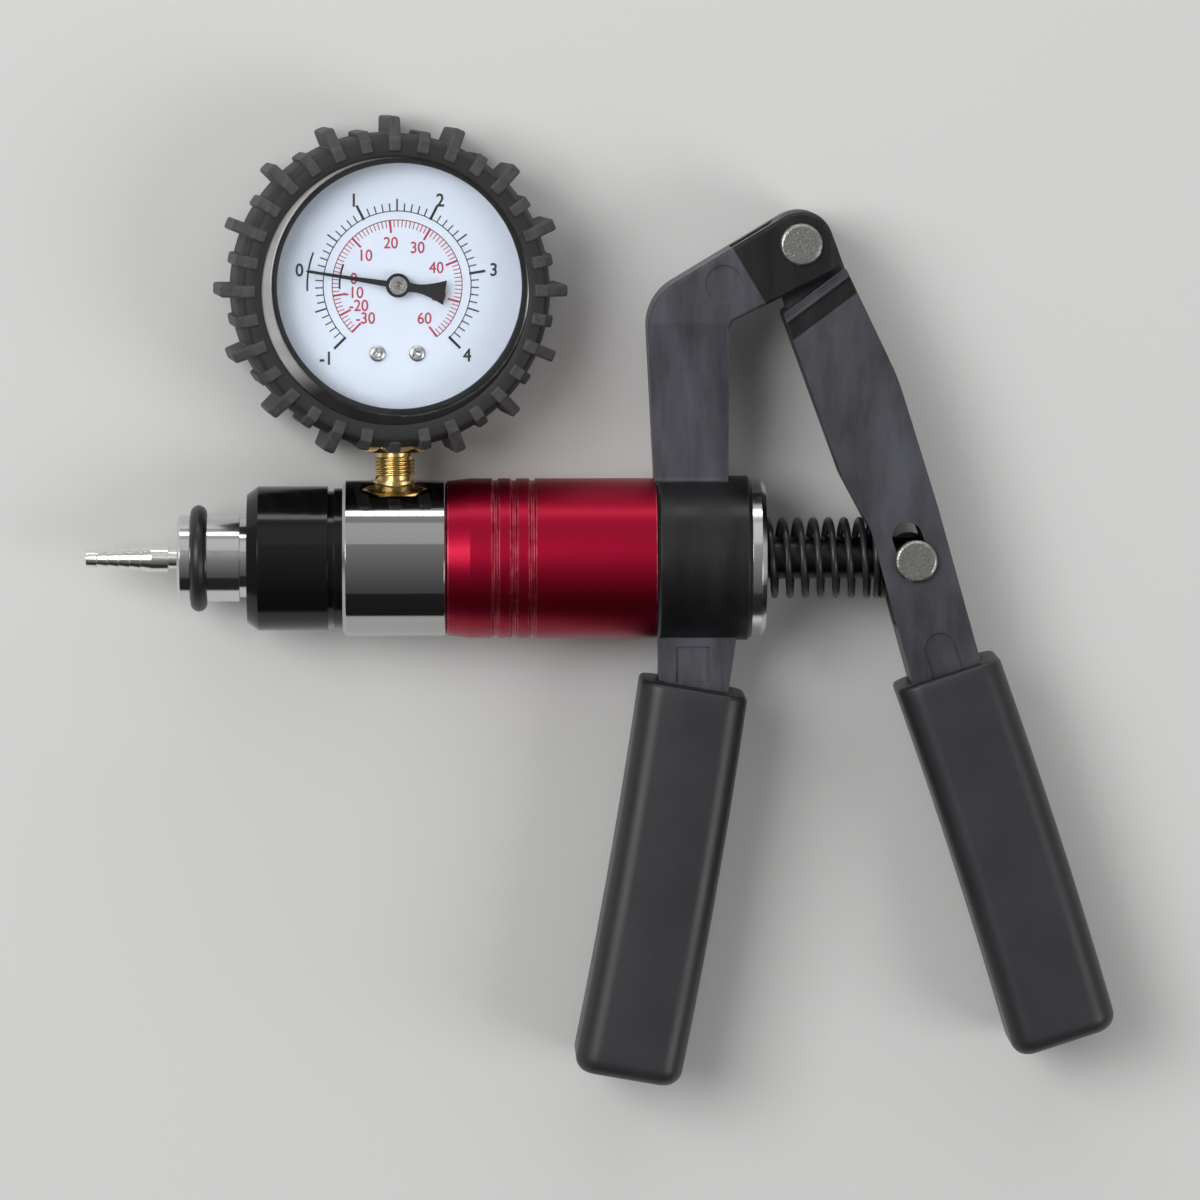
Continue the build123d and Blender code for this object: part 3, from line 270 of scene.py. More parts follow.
def new_finish(name, colour, edge_colour, edge_share=0.3, metallic=0.0, softened=0.15 * mm):
    """A material with worn, slightly rounded edges (on the barrel a painted highlight), and the nodes
    that its skin joins to.
    """
    material = bpy.data.materials.new(name)
    material.use_nodes = True
    tree = material.node_tree
    shader = tree.nodes["Principled BSDF"]
    shader.inputs["Metallic"].default_value = metallic
    edging = put(tree, "ShaderNodeGroup", {
        "Color": colour, "Edge Color": edge_colour, "Amount": edge_share}, node_tree=edge_wear_and_highlight)
    soft = put(tree, "ShaderNodeBevel", {"Radius": softened}, samples=4)
    bump = put(tree, "ShaderNodeBump", {"Distance": 1.0, "Strength": 1.0,
               "Normal": soft.outputs["Normal"]})
    feed(tree, shader.inputs, {
        "Base Color": edging.outputs["Color"], "Normal": bump.outputs["Normal"]})
    return material, tree, shader, edging, bump


def turned_metal(name, colour, roughness, pitch, depth, unevenness=0.06, edge_share=0.3,
                 edge_colour=(0.9, 0.9, 0.9, 1), metallic=1.0):
    """A metal turned about the pump's long axis."""
    material, tree, shader, edging, bump = new_finish(name, colour, edge_colour, edge_share, metallic)
    along = put(tree, "ShaderNodeSeparateXYZ", {"Vector": own_place(tree)})
    rings = put(tree, "ShaderNodeGroup", {
        "Axis Position": along.outputs["X"], "Pitch": pitch, "Depth": depth,
        "Roughness": roughness, "Unevenness": unevenness}, node_tree=lathe_rings)
    tree.links.new(rings.outputs["Height"], bump.inputs["Height"])
    tree.links.new(rings.outputs["Roughness"], shader.inputs["Roughness"])
    return material


def dress(material, *nodes):
    """Gives pieces that keep the shape they came with their finish."""
    for name in nodes:
        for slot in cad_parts[name].material_slots:
            slot.material = material


dress(turned_metal("plated_nozzle", nozzle_colour, 0.20, nozzle_ring_pitch,
                   nozzle_ring_depth), "hose_nozzle")

# ---- selector spool
# Turned brass with a bright nickel plate. It slides in the black collar, and a snap ring
# of spring steel at its inner end stops it from being pulled out.
dress(turned_metal("plated_spool", (0.72, 0.72, 0.72, 1), 0.13, 0.22 * mm, 0.0022 * mm),
      "selector_spool")
dress(turned_metal("dark_spring_steel", (0.20, 0.20, 0.21, 1), 0.35, 0.3 * mm, 0.002 * mm),
      "spool_retaining_ring", "washer_retaining_ring", "pivot_pin_clip", "drive_pin_clip")

# ---- spool bumper ring
# A thick O-ring of black nitrile behind the spool's flange. It is moulded in two halves,
# so a thin raised line of flash runs round its rim and its bore.
low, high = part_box("spool_bumper")
bumper_x = (low.x + high.x) / 2
bumper_r = (high.y - low.y) / 2
section_r = (high.x - low.x) / 2
flash_h = 0.07 * mm
flash_w = 0.16 * mm
section_steps = 36
round_steps = 120


def close_up(work, name):
    """Turns finished bmesh work into an object with its faces outward."""
    bmesh.ops.remove_doubles(work, verts=work.verts, dist=1e-7)
    bmesh.ops.recalc_face_normals(work, faces=work.faces)
    for face in work.faces:
        face.smooth = True
    mesh = bpy.data.meshes.new(name)
    work.to_mesh(mesh)
    work.free()
    return add_object(name, mesh)


def ring_of_points(work, points):
    """New points in bmesh work, one for each place."""
    return [work.verts.new(point) for point in points]


def skin_rings(work, rings, closed=False):
    """Faces from each ring of points to the next, then back to the first or over both ends."""
    for first, second in zip(rings, rings[1:] + rings[:1] if closed else rings[1:]):
        for i in range(len(first)):
            j = (i + 1) % len(first)
            work.faces.new((first[i], first[j], second[j], second[i]))
    if not closed:
        work.faces.new(rings[0])
        work.faces.new(rings[-1])


def turned(name, outline, steps, spot, closed=False):
    """A round piece from an outline of (way along, radius). The spot puts each point in place."""
    work = bmesh.new()
    angles = [2 * math.pi * k / steps for k in range(steps)]
    skin_rings(work, [
        ring_of_points(work, [spot(along, radius * math.cos(a), radius * math.sin(a)) for a in angles])
        for along, radius in outline], closed)
    return close_up(work, name)


bumper_outline = []
for k in range(section_steps):
    turn = 2 * math.pi * k / section_steps
    x = section_r * math.sin(turn)
    rise = section_r * math.cos(turn)
    flash = flash_h * math.exp(-(x / flash_w) ** 2)
    reach = section_r - flash_h + flash
    bumper_outline.append((bumper_x + x, bumper_r - section_r + rise * reach / section_r))
bumper = turned("spool_bumper_ring", bumper_outline, round_steps,
                lambda along, across, up: (along, across, up), closed=True)

# The skin of moulded rubber and plastic: a fine grain, and soft clouds of lighter colour.
moulded_skin, given, result = shared_effect("moulded_skin", [
    ("Color", shade, (0.05, 0.05, 0.05, 1)), ("Cloud Color", shade, (0.08, 0.08, 0.08, 1)),
    ("Cloud Size", number, 0.01), ("Cloud Stretch", arrow, (1, 1, 1)),
    ("Clouding", number, 0.5), ("Grain Size", number, 0.0004), ("Grain Depth", number, 0.00001),
    ("Roughness", number, 0.5), ("Unevenness", number, 0.1)],
    [("Color", shade), ("Roughness", number), ("Height", number)])
stretched = put(moulded_skin, "ShaderNodeVectorMath", {
    0: own_place(moulded_skin), 1: given["Cloud Stretch"]}, operation="MULTIPLY")
cloud = mottle(moulded_skin, stretched.outputs["Vector"], given["Cloud Size"], 5.0, 0.6)
cloud = ramp(moulded_skin, cloud, 0.35, 0.68)
grain = mottle(moulded_skin, own_place(moulded_skin), given["Grain Size"], 2.0)
clouded = work_out(moulded_skin, "MULTIPLY", cloud, given["Clouding"])
uneven = work_out(moulded_skin, "SUBTRACT", cloud, 0.5)
feed(moulded_skin, result, {
    "Color": mix_colour(moulded_skin, clouded, given["Color"], given["Cloud Color"]),
    "Roughness": work_out(moulded_skin, "MULTIPLY_ADD", uneven, given["Unevenness"],
                          given["Roughness"]),
    "Height": work_out(moulded_skin, "MULTIPLY", grain, given["Grain Depth"])})


def moulded(name, colour, cloud_colour, roughness, unevenness=0.1, cloud_size=8 * mm,
            stretch=(1, 1, 1), clouding=0.5, grain=0.35 * mm, depth=0.006 * mm, edge_share=0.2,
            edge_colour=(0.2, 0.2, 0.2, 1), softened=0.25 * mm):
    """Moulded plastic or rubber: a grain, clouds of lighter colour and rubbed edges."""
    material, tree, shader, edging, bump = new_finish(name, colour, edge_colour, edge_share, 0.0, softened)
    skin = put(tree, "ShaderNodeGroup", {
        "Color": colour, "Cloud Color": cloud_colour, "Cloud Size": cloud_size,
        "Cloud Stretch": stretch, "Clouding": clouding, "Grain Size": grain,
        "Grain Depth": depth, "Roughness": roughness, "Unevenness": unevenness},
        node_tree=moulded_skin, name="skin")
    tree.links.new(skin.outputs["Color"], edging.inputs["Color"])
    tree.links.new(skin.outputs["Roughness"], shader.inputs["Roughness"])
    tree.links.new(skin.outputs["Height"], bump.inputs["Height"])
    return material


nitrile = moulded("black_nitrile", (0.016, 0.016, 0.017, 1), (0.03, 0.03, 0.03, 1), 0.38,
                  grain=0.2 * mm, depth=0.002 * mm)
bumper.data.materials.append(nitrile)
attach(bumper, "selector")
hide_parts("spool_bumper")
dress(nitrile, "spool_seals", "collar_gasket", "valve_plate_seal", "piston_seal",
      "window_seal", "inlet_valve", "outlet_valve")

# ---- selector collar
# Black acetal, turned and polished. It carries the spool and screws into the manifold.
# The lathe leaves faint rings, which show only in its shine.
collar_finish = turned_metal("polished_black_acetal", (0.006, 0.006, 0.0065, 1), 0.14,
                             0.30 * mm, 0.0012 * mm, unevenness=0.05, edge_share=0.10,
                             edge_colour=(0.10, 0.10, 0.10, 1), metallic=0.0)
set_shader(collar_finish, {"Specular IOR Level": 0.35})
dress(collar_finish, "selector_collar")

# ---- manifold block
# Turned brass with mirror chrome. Its bore takes the collar's spigot in front and the
# valve plate behind, and the gauge's stem screws into its side.
chrome = turned_metal("mirror_chrome", (0.50, 0.50, 0.50, 1), 0.07, 0.5 * mm, 0.0005 * mm,
                      unevenness=0.03, edge_share=0.5)
dress(chrome, "manifold_block")

# ---- cylinder barrel
# An aluminium tube, turned, polished and anodised deep crimson. The dye sits under a
# clear oxide skin, so its highlights go pink. Its edges and the edges of its cuts are painted
# a brighter pink: a painted highlight.
crimson = (0.38, 0.004, 0.030, 1)
# The edge colour here is a bright pink, a painted highlight along every edge.
barrel_paint = turned_metal("crimson_anodised", crimson, 0.40, 0.25 * mm, 0.0012 * mm,
                            unevenness=0.04, edge_share=0.8, edge_colour=(0.92, 0.30, 0.36, 1))
set_shader(barrel_paint, {"Coat Weight": 0.15, "Coat Roughness": 0.25})
dress(barrel_paint, "cylinder_barrel")

# ---- valve plate and its valves
# Inside the manifold: a turned plate of natural acetal with two rubber mushroom valves that
# face opposite ways, one for the inlet and one for the outlet.
dress(moulded("natural_acetal", (0.78, 0.77, 0.72, 1), (0.83, 0.82, 0.78, 1), 0.4,
              edge_colour=(0.9, 0.9, 0.86, 1)), "valve_plate", "rod_guide")

# ---- end cap
# A bright turned aluminium disc behind the clamp ring, with a bevelled rim. Its plug goes
# into the barrel, and the spring and the rod come out through it.
dress(turned_metal("bright_alloy", (0.80, 0.80, 0.80, 1), 0.16, 0.2 * mm, 0.003 * mm),
      "end_cap")

# ---- handle frame
# One moulding of black glass-filled nylon: clamp ring, arm, fork and tang. The glass gives it a
# blue-grey bloom, drawn out in streaks along the arm where the melt ran; the bloom is partly a
# painted sheen. The clamp ring and the fork are painted darker, with less bloom: painted shade.
nylon_grey = (0.042, 0.043, 0.051, 1)
nylon_bloom_and_sheen = (0.118, 0.121, 0.144, 1)
# The darker colour, thinner bloom and smoother finish of the painted shade on the clamp ring and fork.
nylon_shaded = (0.009, 0.009, 0.010, 1)
nylon_clouding = 0.75
shaded_clouding = 0.04
shaded_roughness_by = -0.07
clamp_r = 15.7 * mm
pivot = Vector((121.2, 59.7, 0)) * mm
fork_way = math.radians(31.0)
fork_depth = 11.5 * mm
nylon = moulded("glass_filled_nylon", nylon_grey, nylon_bloom_and_sheen, 0.44,
                unevenness=0.16, cloud_size=9 * mm, stretch=(1.6, 0.30, 0.6),
                clouding=nylon_clouding, grain=0.28 * mm, depth=0.006 * mm, edge_share=0.30,
                edge_colour=(0.16, 0.17, 0.18, 1), softened=0.35 * mm)


def polish(material, mask):
    """Where the mask is 1 the nylon is painted darker, with less bloom and a little smoother: painted
    shade.
    """
    tree = material.node_tree
    skin = tree.nodes["skin"]
    feed(tree, skin.inputs, {
        "Color": mix_colour(tree, mask, nylon_grey, nylon_shaded),
        "Clouding": work_out(tree, "MULTIPLY_ADD", mask, shaded_clouding - nylon_clouding,
                             nylon_clouding),
        "Roughness": work_out(tree, "MULTIPLY_ADD", mask, shaded_roughness_by,
                              skin.inputs["Roughness"].default_value)})


def how_far(tree, start, way):
    """The distance of the shaded point from a start, along a way."""
    away = put(tree, "ShaderNodeVectorMath", {0: own_place(tree), 1: start}, operation="SUBTRACT")
    return put(tree, "ShaderNodeVectorMath", {0: away.outputs["Vector"], 1: way},
               operation="DOT_PRODUCT").outputs["Value"]


tree = nylon.node_tree
# The clamp ring and the fork are painted darker: painted shade.
from_axis = put(tree, "ShaderNodeVectorMath", {0: own_place(tree), 1: (0, 1, 1)},
                operation="MULTIPLY")
from_axis = put(tree, "ShaderNodeVectorMath", {0: from_axis.outputs["Vector"]}, operation="LENGTH")
on_clamp = ramp(tree, from_axis.outputs["Value"], clamp_r, clamp_r + 0.2 * mm, 1.0, 0.0)
on_fork = ramp(tree, how_far(tree, pivot, (math.cos(fork_way), math.sin(fork_way), 0)),
               -fork_depth, 0.2 * mm - fork_depth)
polish(nylon, work_out(tree, "MAXIMUM", on_clamp, on_fork))
set_shader(nylon, {"Specular IOR Level": 0.38})
dress(nylon, "handle_frame")

# ---- rubber grips
# Two moulded sleeves, pushed over the frame's tang and the lever's blade. Each is a soft
# rounded box with a mouth at the top, slightly bowed, with a fine matt grain. Their sides are
# painted darker than their broad faces: painted shade.
grip_half_w = 10.2 * mm
grip_half_t = 12.5 * mm
grip_corner = 4.5 * mm
grip_end_round = 3.2 * mm
grip_top_round = 0.9 * mm
grip_bow = 0.6 * mm
mouth_half_w = 6.45 * mm
mouth_half_t = 5.4 * mm
mouth_corner = 0.8 * mm
mouth_depth = 2.0 * mm
mouth_round = 0.35 * mm
least_corner = 0.3 * mm
corner_steps = 8
fixed_grip_top = Vector((101.25, -24.2, 0)) * mm
fixed_grip_l = 75.5 * mm
fixed_grip_angle = -99.9
grip_lengthwise = 40


def boxed(half_w, half_t, corner, inset):
    """Points round a rounded box, inset all round."""
    across, deep = half_w - inset, half_t - inset
    corner = max(corner - inset, least_corner)
    points = []
    for quarter in range(4):
        sign_w = 1 if quarter in (0, 3) else -1
        sign_t = 1 if quarter in (0, 1) else -1
        for step in range(corner_steps + 1):
            a = math.radians(90 * quarter + 90 * step / corner_steps)
            points.append((sign_w * (across - corner) + corner * math.cos(a),
                           sign_t * (deep - corner) + corner * math.sin(a)))
    return points


def rubber_grip(name, top, length, angle):
    """A sleeve from its top point, running at an angle in degrees."""
    along = Vector((math.cos(math.radians(angle)), math.sin(math.radians(angle)), 0))
    across = Vector((-along.y, along.x, 0))
    stations = [(mouth_depth, None, 0.0), (0.3 * mm, None, 0.0), (0.0, None, mouth_round)]
    for step in range(6):
        a = math.radians(90 * step / 5)
        stations.append((grip_top_round * (1 - math.sin(a)), "out", grip_top_round * (1 - math.cos(a))))
    stations = stations[:3] + stations[3:][::-1]
    straight = length - grip_end_round - grip_top_round
    for step in range(1, grip_lengthwise):
        stations.append((grip_top_round + straight * step / grip_lengthwise, "out", 0.0))
    for step in range(9):
        a = math.radians(88 * step / 8)
        stations.append((length - grip_end_round + grip_end_round * math.sin(a), "out",
                         grip_end_round * (1 - math.cos(a))))
    stations.append((length, "out", grip_end_round + 3 * mm))
    work = bmesh.new()
    rings = []
    for reach, side, inset in stations:
        if side:
            section = boxed(grip_half_w, grip_half_t, grip_corner, inset)
        else:
            section = boxed(mouth_half_w, mouth_half_t, mouth_corner, -inset)
        share = 2 * reach / length - 1
        bow = grip_bow * (1 - share * share)
        centre = top + along * reach + across * bow
        rings.append(ring_of_points(work, [
            centre + across * w + Vector((0, 0, t)) for w, t in section]))
    skin_rings(work, rings)
    return close_up(work, name)


fixed_grip = rubber_grip("fixed_grip_sleeve", fixed_grip_top, fixed_grip_l, fixed_grip_angle)
grip_rubber = moulded("charcoal_grip_rubber", (0.028, 0.028, 0.032, 1), (0.037, 0.037, 0.042, 1),
                      0.40, unevenness=0.08, cloud_size=14 * mm, grain=0.22 * mm,
                      depth=0.006 * mm, edge_share=0.25, edge_colour=(0.14, 0.14, 0.145, 1))
tree = grip_rubber.node_tree
# Painted shade: where the surface turns to the sides, the colour goes darker, with less clouding.
faces_up = put(tree, "ShaderNodeSeparateXYZ", {
    "Vector": put(tree, "ShaderNodeNewGeometry").outputs["Normal"]})
lit_broad_faces = ramp(tree, work_out(tree, "ABSOLUTE", faces_up.outputs["Z"]), 0.25, 0.95)
feed(tree, tree.nodes["skin"].inputs, {
    "Color": mix_colour(tree, lit_broad_faces, (0.011, 0.011, 0.012, 1), (0.029, 0.029, 0.033, 1)),
    "Clouding": work_out(tree, "MULTIPLY", lit_broad_faces, 0.5)})
fixed_grip.data.materials.append(grip_rubber)
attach(fixed_grip, "pump")
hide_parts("fixed_grip")

lean = math.radians(20.06)
down_lever = Vector((math.sin(lean), -math.cos(lean), 0))
off_lever = Vector((math.cos(lean), math.sin(lean), 0))
lever_grip_top = pivot + down_lever * 85.76 * mm - off_lever * 1.5 * mm
lever_grip_l = 74.0 * mm
lever_grip_angle = -72.04
lever_grip = rubber_grip("lever_grip_sleeve", lever_grip_top, lever_grip_l, lever_grip_angle)
lever_grip.data.materials.append(grip_rubber)
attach(lever_grip, "lever")
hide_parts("lever_grip")

# ---- plunger
# A ground steel rod, coloured near black, with an acetal piston held by one screw. The drive
# pin passes through its round nose.
dress(turned_metal("ground_steel", (0.045, 0.045, 0.048, 1), 0.34, 0.12 * mm, 0.002 * mm,
                   edge_colour=(0.4, 0.4, 0.4, 1)), "plunger_rod", "piston_screw")
dress(turned_metal("black_piston", (0.02, 0.02, 0.021, 1), 0.35, 0.3 * mm, 0.002 * mm,
                   metallic=0.0, edge_colour=(0.2, 0.2, 0.2, 1)), "piston")
dress(turned_metal("black_oxide", (0.035, 0.035, 0.037, 1), 0.33, 0.3 * mm, 0.003 * mm,
                   edge_colour=(0.3, 0.3, 0.3, 1)), "spring_washer")

# ---- return spring
# Round wire, wound cold, blackened and oiled, with both ends closed and flat. It is
# squeezed between the rod guide and the washer as the plunger goes in.
low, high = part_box("return_spring")
spring_start = low.x
spring_end = high.x
wire_r = 0.68 * mm
coil_r = (high.y - low.y) / 2 - wire_r
coil_turns = 12.5
closed_turns = 0.85
wire_sides = 14


def new_tree(name, inputs):
    """A geometry tree with named sizes, what it is given and what it gives back."""
    tree = bpy.data.node_groups.new(name, "GeometryNodeTree")
    for label, kind, value in inputs:
        socket = tree.interface.new_socket(label, in_out="INPUT", socket_type=kind)
        if value is not None:
            socket.default_value = value
    tree.interface.new_socket("Geometry", in_out="OUTPUT", socket_type="NodeSocketGeometry")
    return (tree, tree.nodes.new("NodeGroupInput").outputs,
            tree.nodes.new("NodeGroupOutput").inputs)


def applied(piece):
    """The piece's mesh as its modifiers leave it."""
    graph = bpy.context.evaluated_depsgraph_get()
    return bpy.data.meshes.new_from_object(piece.evaluated_get(graph), depsgraph=graph)


def grow(name, tree, values, place=None):
    """Runs a geometry tree with these sizes and keeps the result as a plain mesh."""
    seed = add_object(name + "_seed", bpy.data.meshes.new(name + "_seed"))
    modifier = seed.modifiers.new(name, "NODES")
    modifier.node_group = tree
    for socket in tree.interface.items_tree:
        if socket.in_out == "INPUT" and socket.name in values:
            modifier[socket.identifier] = values[socket.name]
    mesh = applied(seed)
    seed.modifiers.remove(modifier)
    bpy.data.objects.remove(seed)
    mesh.name = name
    mesh.transform(place or Matrix.Identity(4))
    return add_object(name, mesh)


def give_back(tree, result, geometry, material):
    """The end of a tree: plain geometry in its material."""
    real = put(tree, "GeometryNodeRealizeInstances", {"Geometry": geometry})
    dressed = put(tree, "GeometryNodeSetMaterial", {
        "Geometry": real.outputs["Geometry"], "Material": material})
    feed(tree, result, {"Geometry": dressed.outputs["Geometry"]})


count, size, finish = "NodeSocketInt", "NodeSocketFloat", "NodeSocketMaterial"

# A coil along X. Its pitch closes up over the last part of a turn at both ends.
coil_tree, given, result = new_tree("wound_coil", [
    ("Start", size, 0.0), ("End", size, 0.04), ("Turns", size, 10.0), ("Closed Turns", size, 0.9),
    ("Coil Radius", size, 0.007), ("Wire Radius", size, 0.0007), ("Points", count, 900),
    ("Material", finish, None)])
line = put(coil_tree, "GeometryNodeMeshLine", {"Count": given["Points"]})
wire_path = put(coil_tree, "GeometryNodeMeshToCurve", {"Mesh": line.outputs["Mesh"]})
coil_sum = partial(work_out, coil_tree)
step = put(coil_tree, "GeometryNodeInputIndex").outputs[0]
share = coil_sum("DIVIDE", step, coil_sum("SUBTRACT", given["Points"], 1.0))
turn = coil_sum("MULTIPLY", share, given["Turns"])
left = coil_sum("SUBTRACT", given["Turns"], turn)
wire = coil_sum("MULTIPLY", given["Wire Radius"], 2.0)
closed = given["Closed Turns"]
front_flat = ramp(coil_tree, turn, 0.0, closed, interpolation_type="SMOOTHSTEP")
back_flat = ramp(coil_tree, left, 0.0, closed, interpolation_type="SMOOTHSTEP")
open_turns = coil_sum("SUBTRACT", given["Turns"], coil_sum("MULTIPLY", closed, 2.0))
open_share = coil_sum("DIVIDE", coil_sum("SUBTRACT", turn, closed), open_turns)
open_share = put(coil_tree, "ShaderNodeClamp", {"Value": open_share}).outputs[0]
first_x = coil_sum("ADD", given["Start"], given["Wire Radius"])
last_x = coil_sum("SUBTRACT", given["End"], given["Wire Radius"])
room = coil_sum("SUBTRACT", coil_sum("SUBTRACT", last_x, first_x), coil_sum("MULTIPLY", wire, 2.0))
x = coil_sum("MULTIPLY_ADD", open_share, room, first_x)
x = coil_sum("MULTIPLY_ADD", front_flat, wire, x)
x = coil_sum("ADD", x, coil_sum("MULTIPLY", wire, coil_sum("SUBTRACT", 1.0, back_flat)))
angle = coil_sum("MULTIPLY", turn, 2 * math.pi)
y = coil_sum("MULTIPLY", coil_sum("COSINE", angle), given["Coil Radius"])
z = coil_sum("MULTIPLY", coil_sum("SINE", angle), given["Coil Radius"])
spot = put(coil_tree, "ShaderNodeCombineXYZ", {"X": x, "Y": y, "Z": z})
wound = put(coil_tree, "GeometryNodeSetPosition", {
    "Geometry": wire_path.outputs["Curve"], "Position": spot.outputs["Vector"]})
wire_round = put(coil_tree, "GeometryNodeCurvePrimitiveCircle", {
    "Resolution": wire_sides, "Radius": given["Wire Radius"]})
drawn = put(coil_tree, "GeometryNodeCurveToMesh", {
    "Curve": wound.outputs["Geometry"], "Profile Curve": wire_round.outputs["Curve"],
    "Fill Caps": True})
smooth = put(coil_tree, "GeometryNodeSetShadeSmooth", {"Geometry": drawn.outputs["Mesh"]})
give_back(coil_tree, result, smooth.outputs["Geometry"], given["Material"])

spring_black = moulded("blackened_wire", (0.020, 0.020, 0.022, 1), (0.035, 0.035, 0.037, 1), 0.30,
                       grain=0.15 * mm, depth=0.0015 * mm, edge_colour=(0.22, 0.22, 0.23, 1))
spring = grow("return_spring_coil", coil_tree, {
    "Start": spring_start, "End": spring_end, "Turns": coil_turns, "Closed Turns": closed_turns,
    "Coil Radius": coil_r, "Wire Radius": wire_r, "Points": 900, "Material": spring_black})
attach(spring, "pump")
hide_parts("return_spring")
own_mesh(spring)

# ---- squeeze lever
# A moulding of the same nylon as the frame, channelled at the back for the plunger.
# It pivots in the fork and drives the plunger through a pin in a slot.
# Its bloom, as on the frame, is partly a painted sheen.
lever_nylon = moulded("lever_nylon", nylon_grey, (0.100, 0.103, 0.122, 1), 0.43,
                      unevenness=0.16, cloud_size=8 * mm, stretch=(1.2, 0.35, 0.6),
                      clouding=nylon_clouding, grain=0.28 * mm, depth=0.006 * mm, edge_share=0.30,
                      edge_colour=(0.16, 0.17, 0.18, 1), softened=0.35 * mm)
tree = lever_nylon.node_tree
# A band across the face just below the shoulder is painted darker, with less bloom: painted shade.
shoulder_from = pivot + down_lever * 11.1 * mm - off_lever * 7.6 * mm
shoulder_to = pivot + down_lever * 6.9 * mm + off_lever * 6.4 * mm
along_shoulder = (shoulder_to - shoulder_from).normalized()
below_shoulder = Vector((along_shoulder.y, -along_shoulder.x, 0))
band_top = 1.7 * mm
band_bottom = 5.1 * mm
below = how_far(tree, shoulder_from, below_shoulder)
painted_shade_band = work_out(tree, "MULTIPLY", work_out(tree, "GREATER_THAN", below, band_top),
                     work_out(tree, "LESS_THAN", below, band_bottom))
# Towards the grip the lever is painted a little darker too: painted shade.
near_grip = ramp(tree, how_far(tree, pivot, down_lever), 60 * mm, 80 * mm, 0.0, 0.3,
                 interpolation_type="SMOOTHSTEP")
polish(lever_nylon, work_out(tree, "MAXIMUM", painted_shade_band, near_grip))
set_shader(lever_nylon, {"Specular IOR Level": 0.38})
dress(lever_nylon, "squeeze_lever")

# ---- pivot pin and drive pin
# Plated steel pins with flat heads, cropped and tumbled, so their faces are pitted. A snap
# ring at the back keeps each one in.
pin_plate = moulded("zinc_plate", (0.50, 0.50, 0.48, 1), (0.22, 0.21, 0.19, 1), 0.30,
                    unevenness=0.2, cloud_size=0.8 * mm, clouding=0.9, grain=0.45 * mm,
                    depth=0.06 * mm, edge_share=1.0, edge_colour=(0.95, 0.95, 0.94, 1),
                    softened=0.5 * mm)
set_shader(pin_plate, {"Metallic": 1.0})
dress(pin_plate, "pivot_pin", "drive_pin")

# ---- gauge stem
# Turned brass: a hex for the spanner and a threaded neck that screws into the manifold.
# Only the last turns of the thread show.
brass = moulded("turned_brass", (0.80, 0.58, 0.24, 1), (0.70, 0.47, 0.17, 1), 0.24,
                unevenness=0.12, cloud_size=3 * mm, grain=0.3 * mm, depth=0.003 * mm,
                edge_share=0.8, edge_colour=(0.95, 0.80, 0.48, 1), softened=0.2 * mm)
set_shader(brass, {"Metallic": 1.0})
dress(brass, "gauge_stem", "bourdon_tube", "movement_plates", "toothed_sector", "gauge_link")

# The thread's last turns stand on the neck, between the manifold and the hex.
stem_x = 44.6 * mm
thread_low = 15.0 * mm
thread_high = 20.1 * mm
thread_r = 3.46 * mm
thread_ridge_r = 0.34 * mm
thread_turns = 4.4
cut_brass = moulded("cut_brass", (0.80, 0.58, 0.24, 1), (0.70, 0.47, 0.17, 1), 0.22,
                    unevenness=0.05, depth=0.0, edge_share=0.0, softened=0.05 * mm)
set_shader(cut_brass, {"Metallic": 1.0})
thread = grow("stem_thread", coil_tree, {
    "Start": thread_low, "End": thread_high, "Turns": thread_turns, "Closed Turns": 0.1,
    "Coil Radius": thread_r, "Wire Radius": thread_ridge_r, "Points": 420, "Material": cut_brass},
    Matrix.Translation((stem_x, 0, 0)) @ Matrix.Rotation(math.radians(90), 4, "Z"))
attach(thread, "pump")

# ---- gauge case
# Pressed steel, painted black, with the movement and the dial inside it. The boot covers
# all of it but the middle of its back.
dress(moulded("black_case_paint", (0.02, 0.02, 0.02, 1), (0.03, 0.03, 0.03, 1), 0.4), "gauge_case")

# ---- dial
# A thin enamelled disc, printed with an outer black scale and an inner red one, and held
# by two small screws. Screwed in tight, the gauge stands a few degrees out of square.
gauge_turn = math.radians(5.0)
dial_low, dial_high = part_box("dial_plate")
dial_mid_z = 5.25 * mm
gauge_tilt = Matrix.Rotation(gauge_turn, 4, "Y")
hub = (dial_low + dial_high) / 2 - gauge_tilt @ Vector((0, 0, dial_mid_z))
gauge_place = Matrix.Translation(hub) @ gauge_tilt
dial_face = 5.5 * mm
ink_t = 0.03 * mm
dial_white = moulded("dial_enamel", (0.64, 0.70, 0.81, 1), (0.66, 0.72, 0.83, 1), 0.35,
                     grain=0.6 * mm, depth=0.0008 * mm, edge_colour=(0.66, 0.72, 0.83, 1))
dress(dial_white, "dial_plate")
black_ink = moulded("black_dial_ink", (0.020, 0.021, 0.026, 1), (0.03, 0.03, 0.035, 1), 0.5,
                    depth=0.0, grain=0.3 * mm)
red_ink = moulded("red_dial_ink", (0.52, 0.035, 0.075, 1), (0.56, 0.05, 0.09, 1), 0.5,
                  depth=0.0, grain=0.3 * mm)


def spot_on_circle(tree, turned_by, radius, height=0.0):
    """The place on a circle at an angle from its top, clockwise."""
    across = work_out(tree, "MULTIPLY", work_out(tree, "SINE", turned_by), radius)
    up = work_out(tree, "MULTIPLY", work_out(tree, "COSINE", turned_by), radius)
    return put(tree, "ShaderNodeCombineXYZ", {"X": across, "Y": up, "Z": height}).outputs["Vector"]


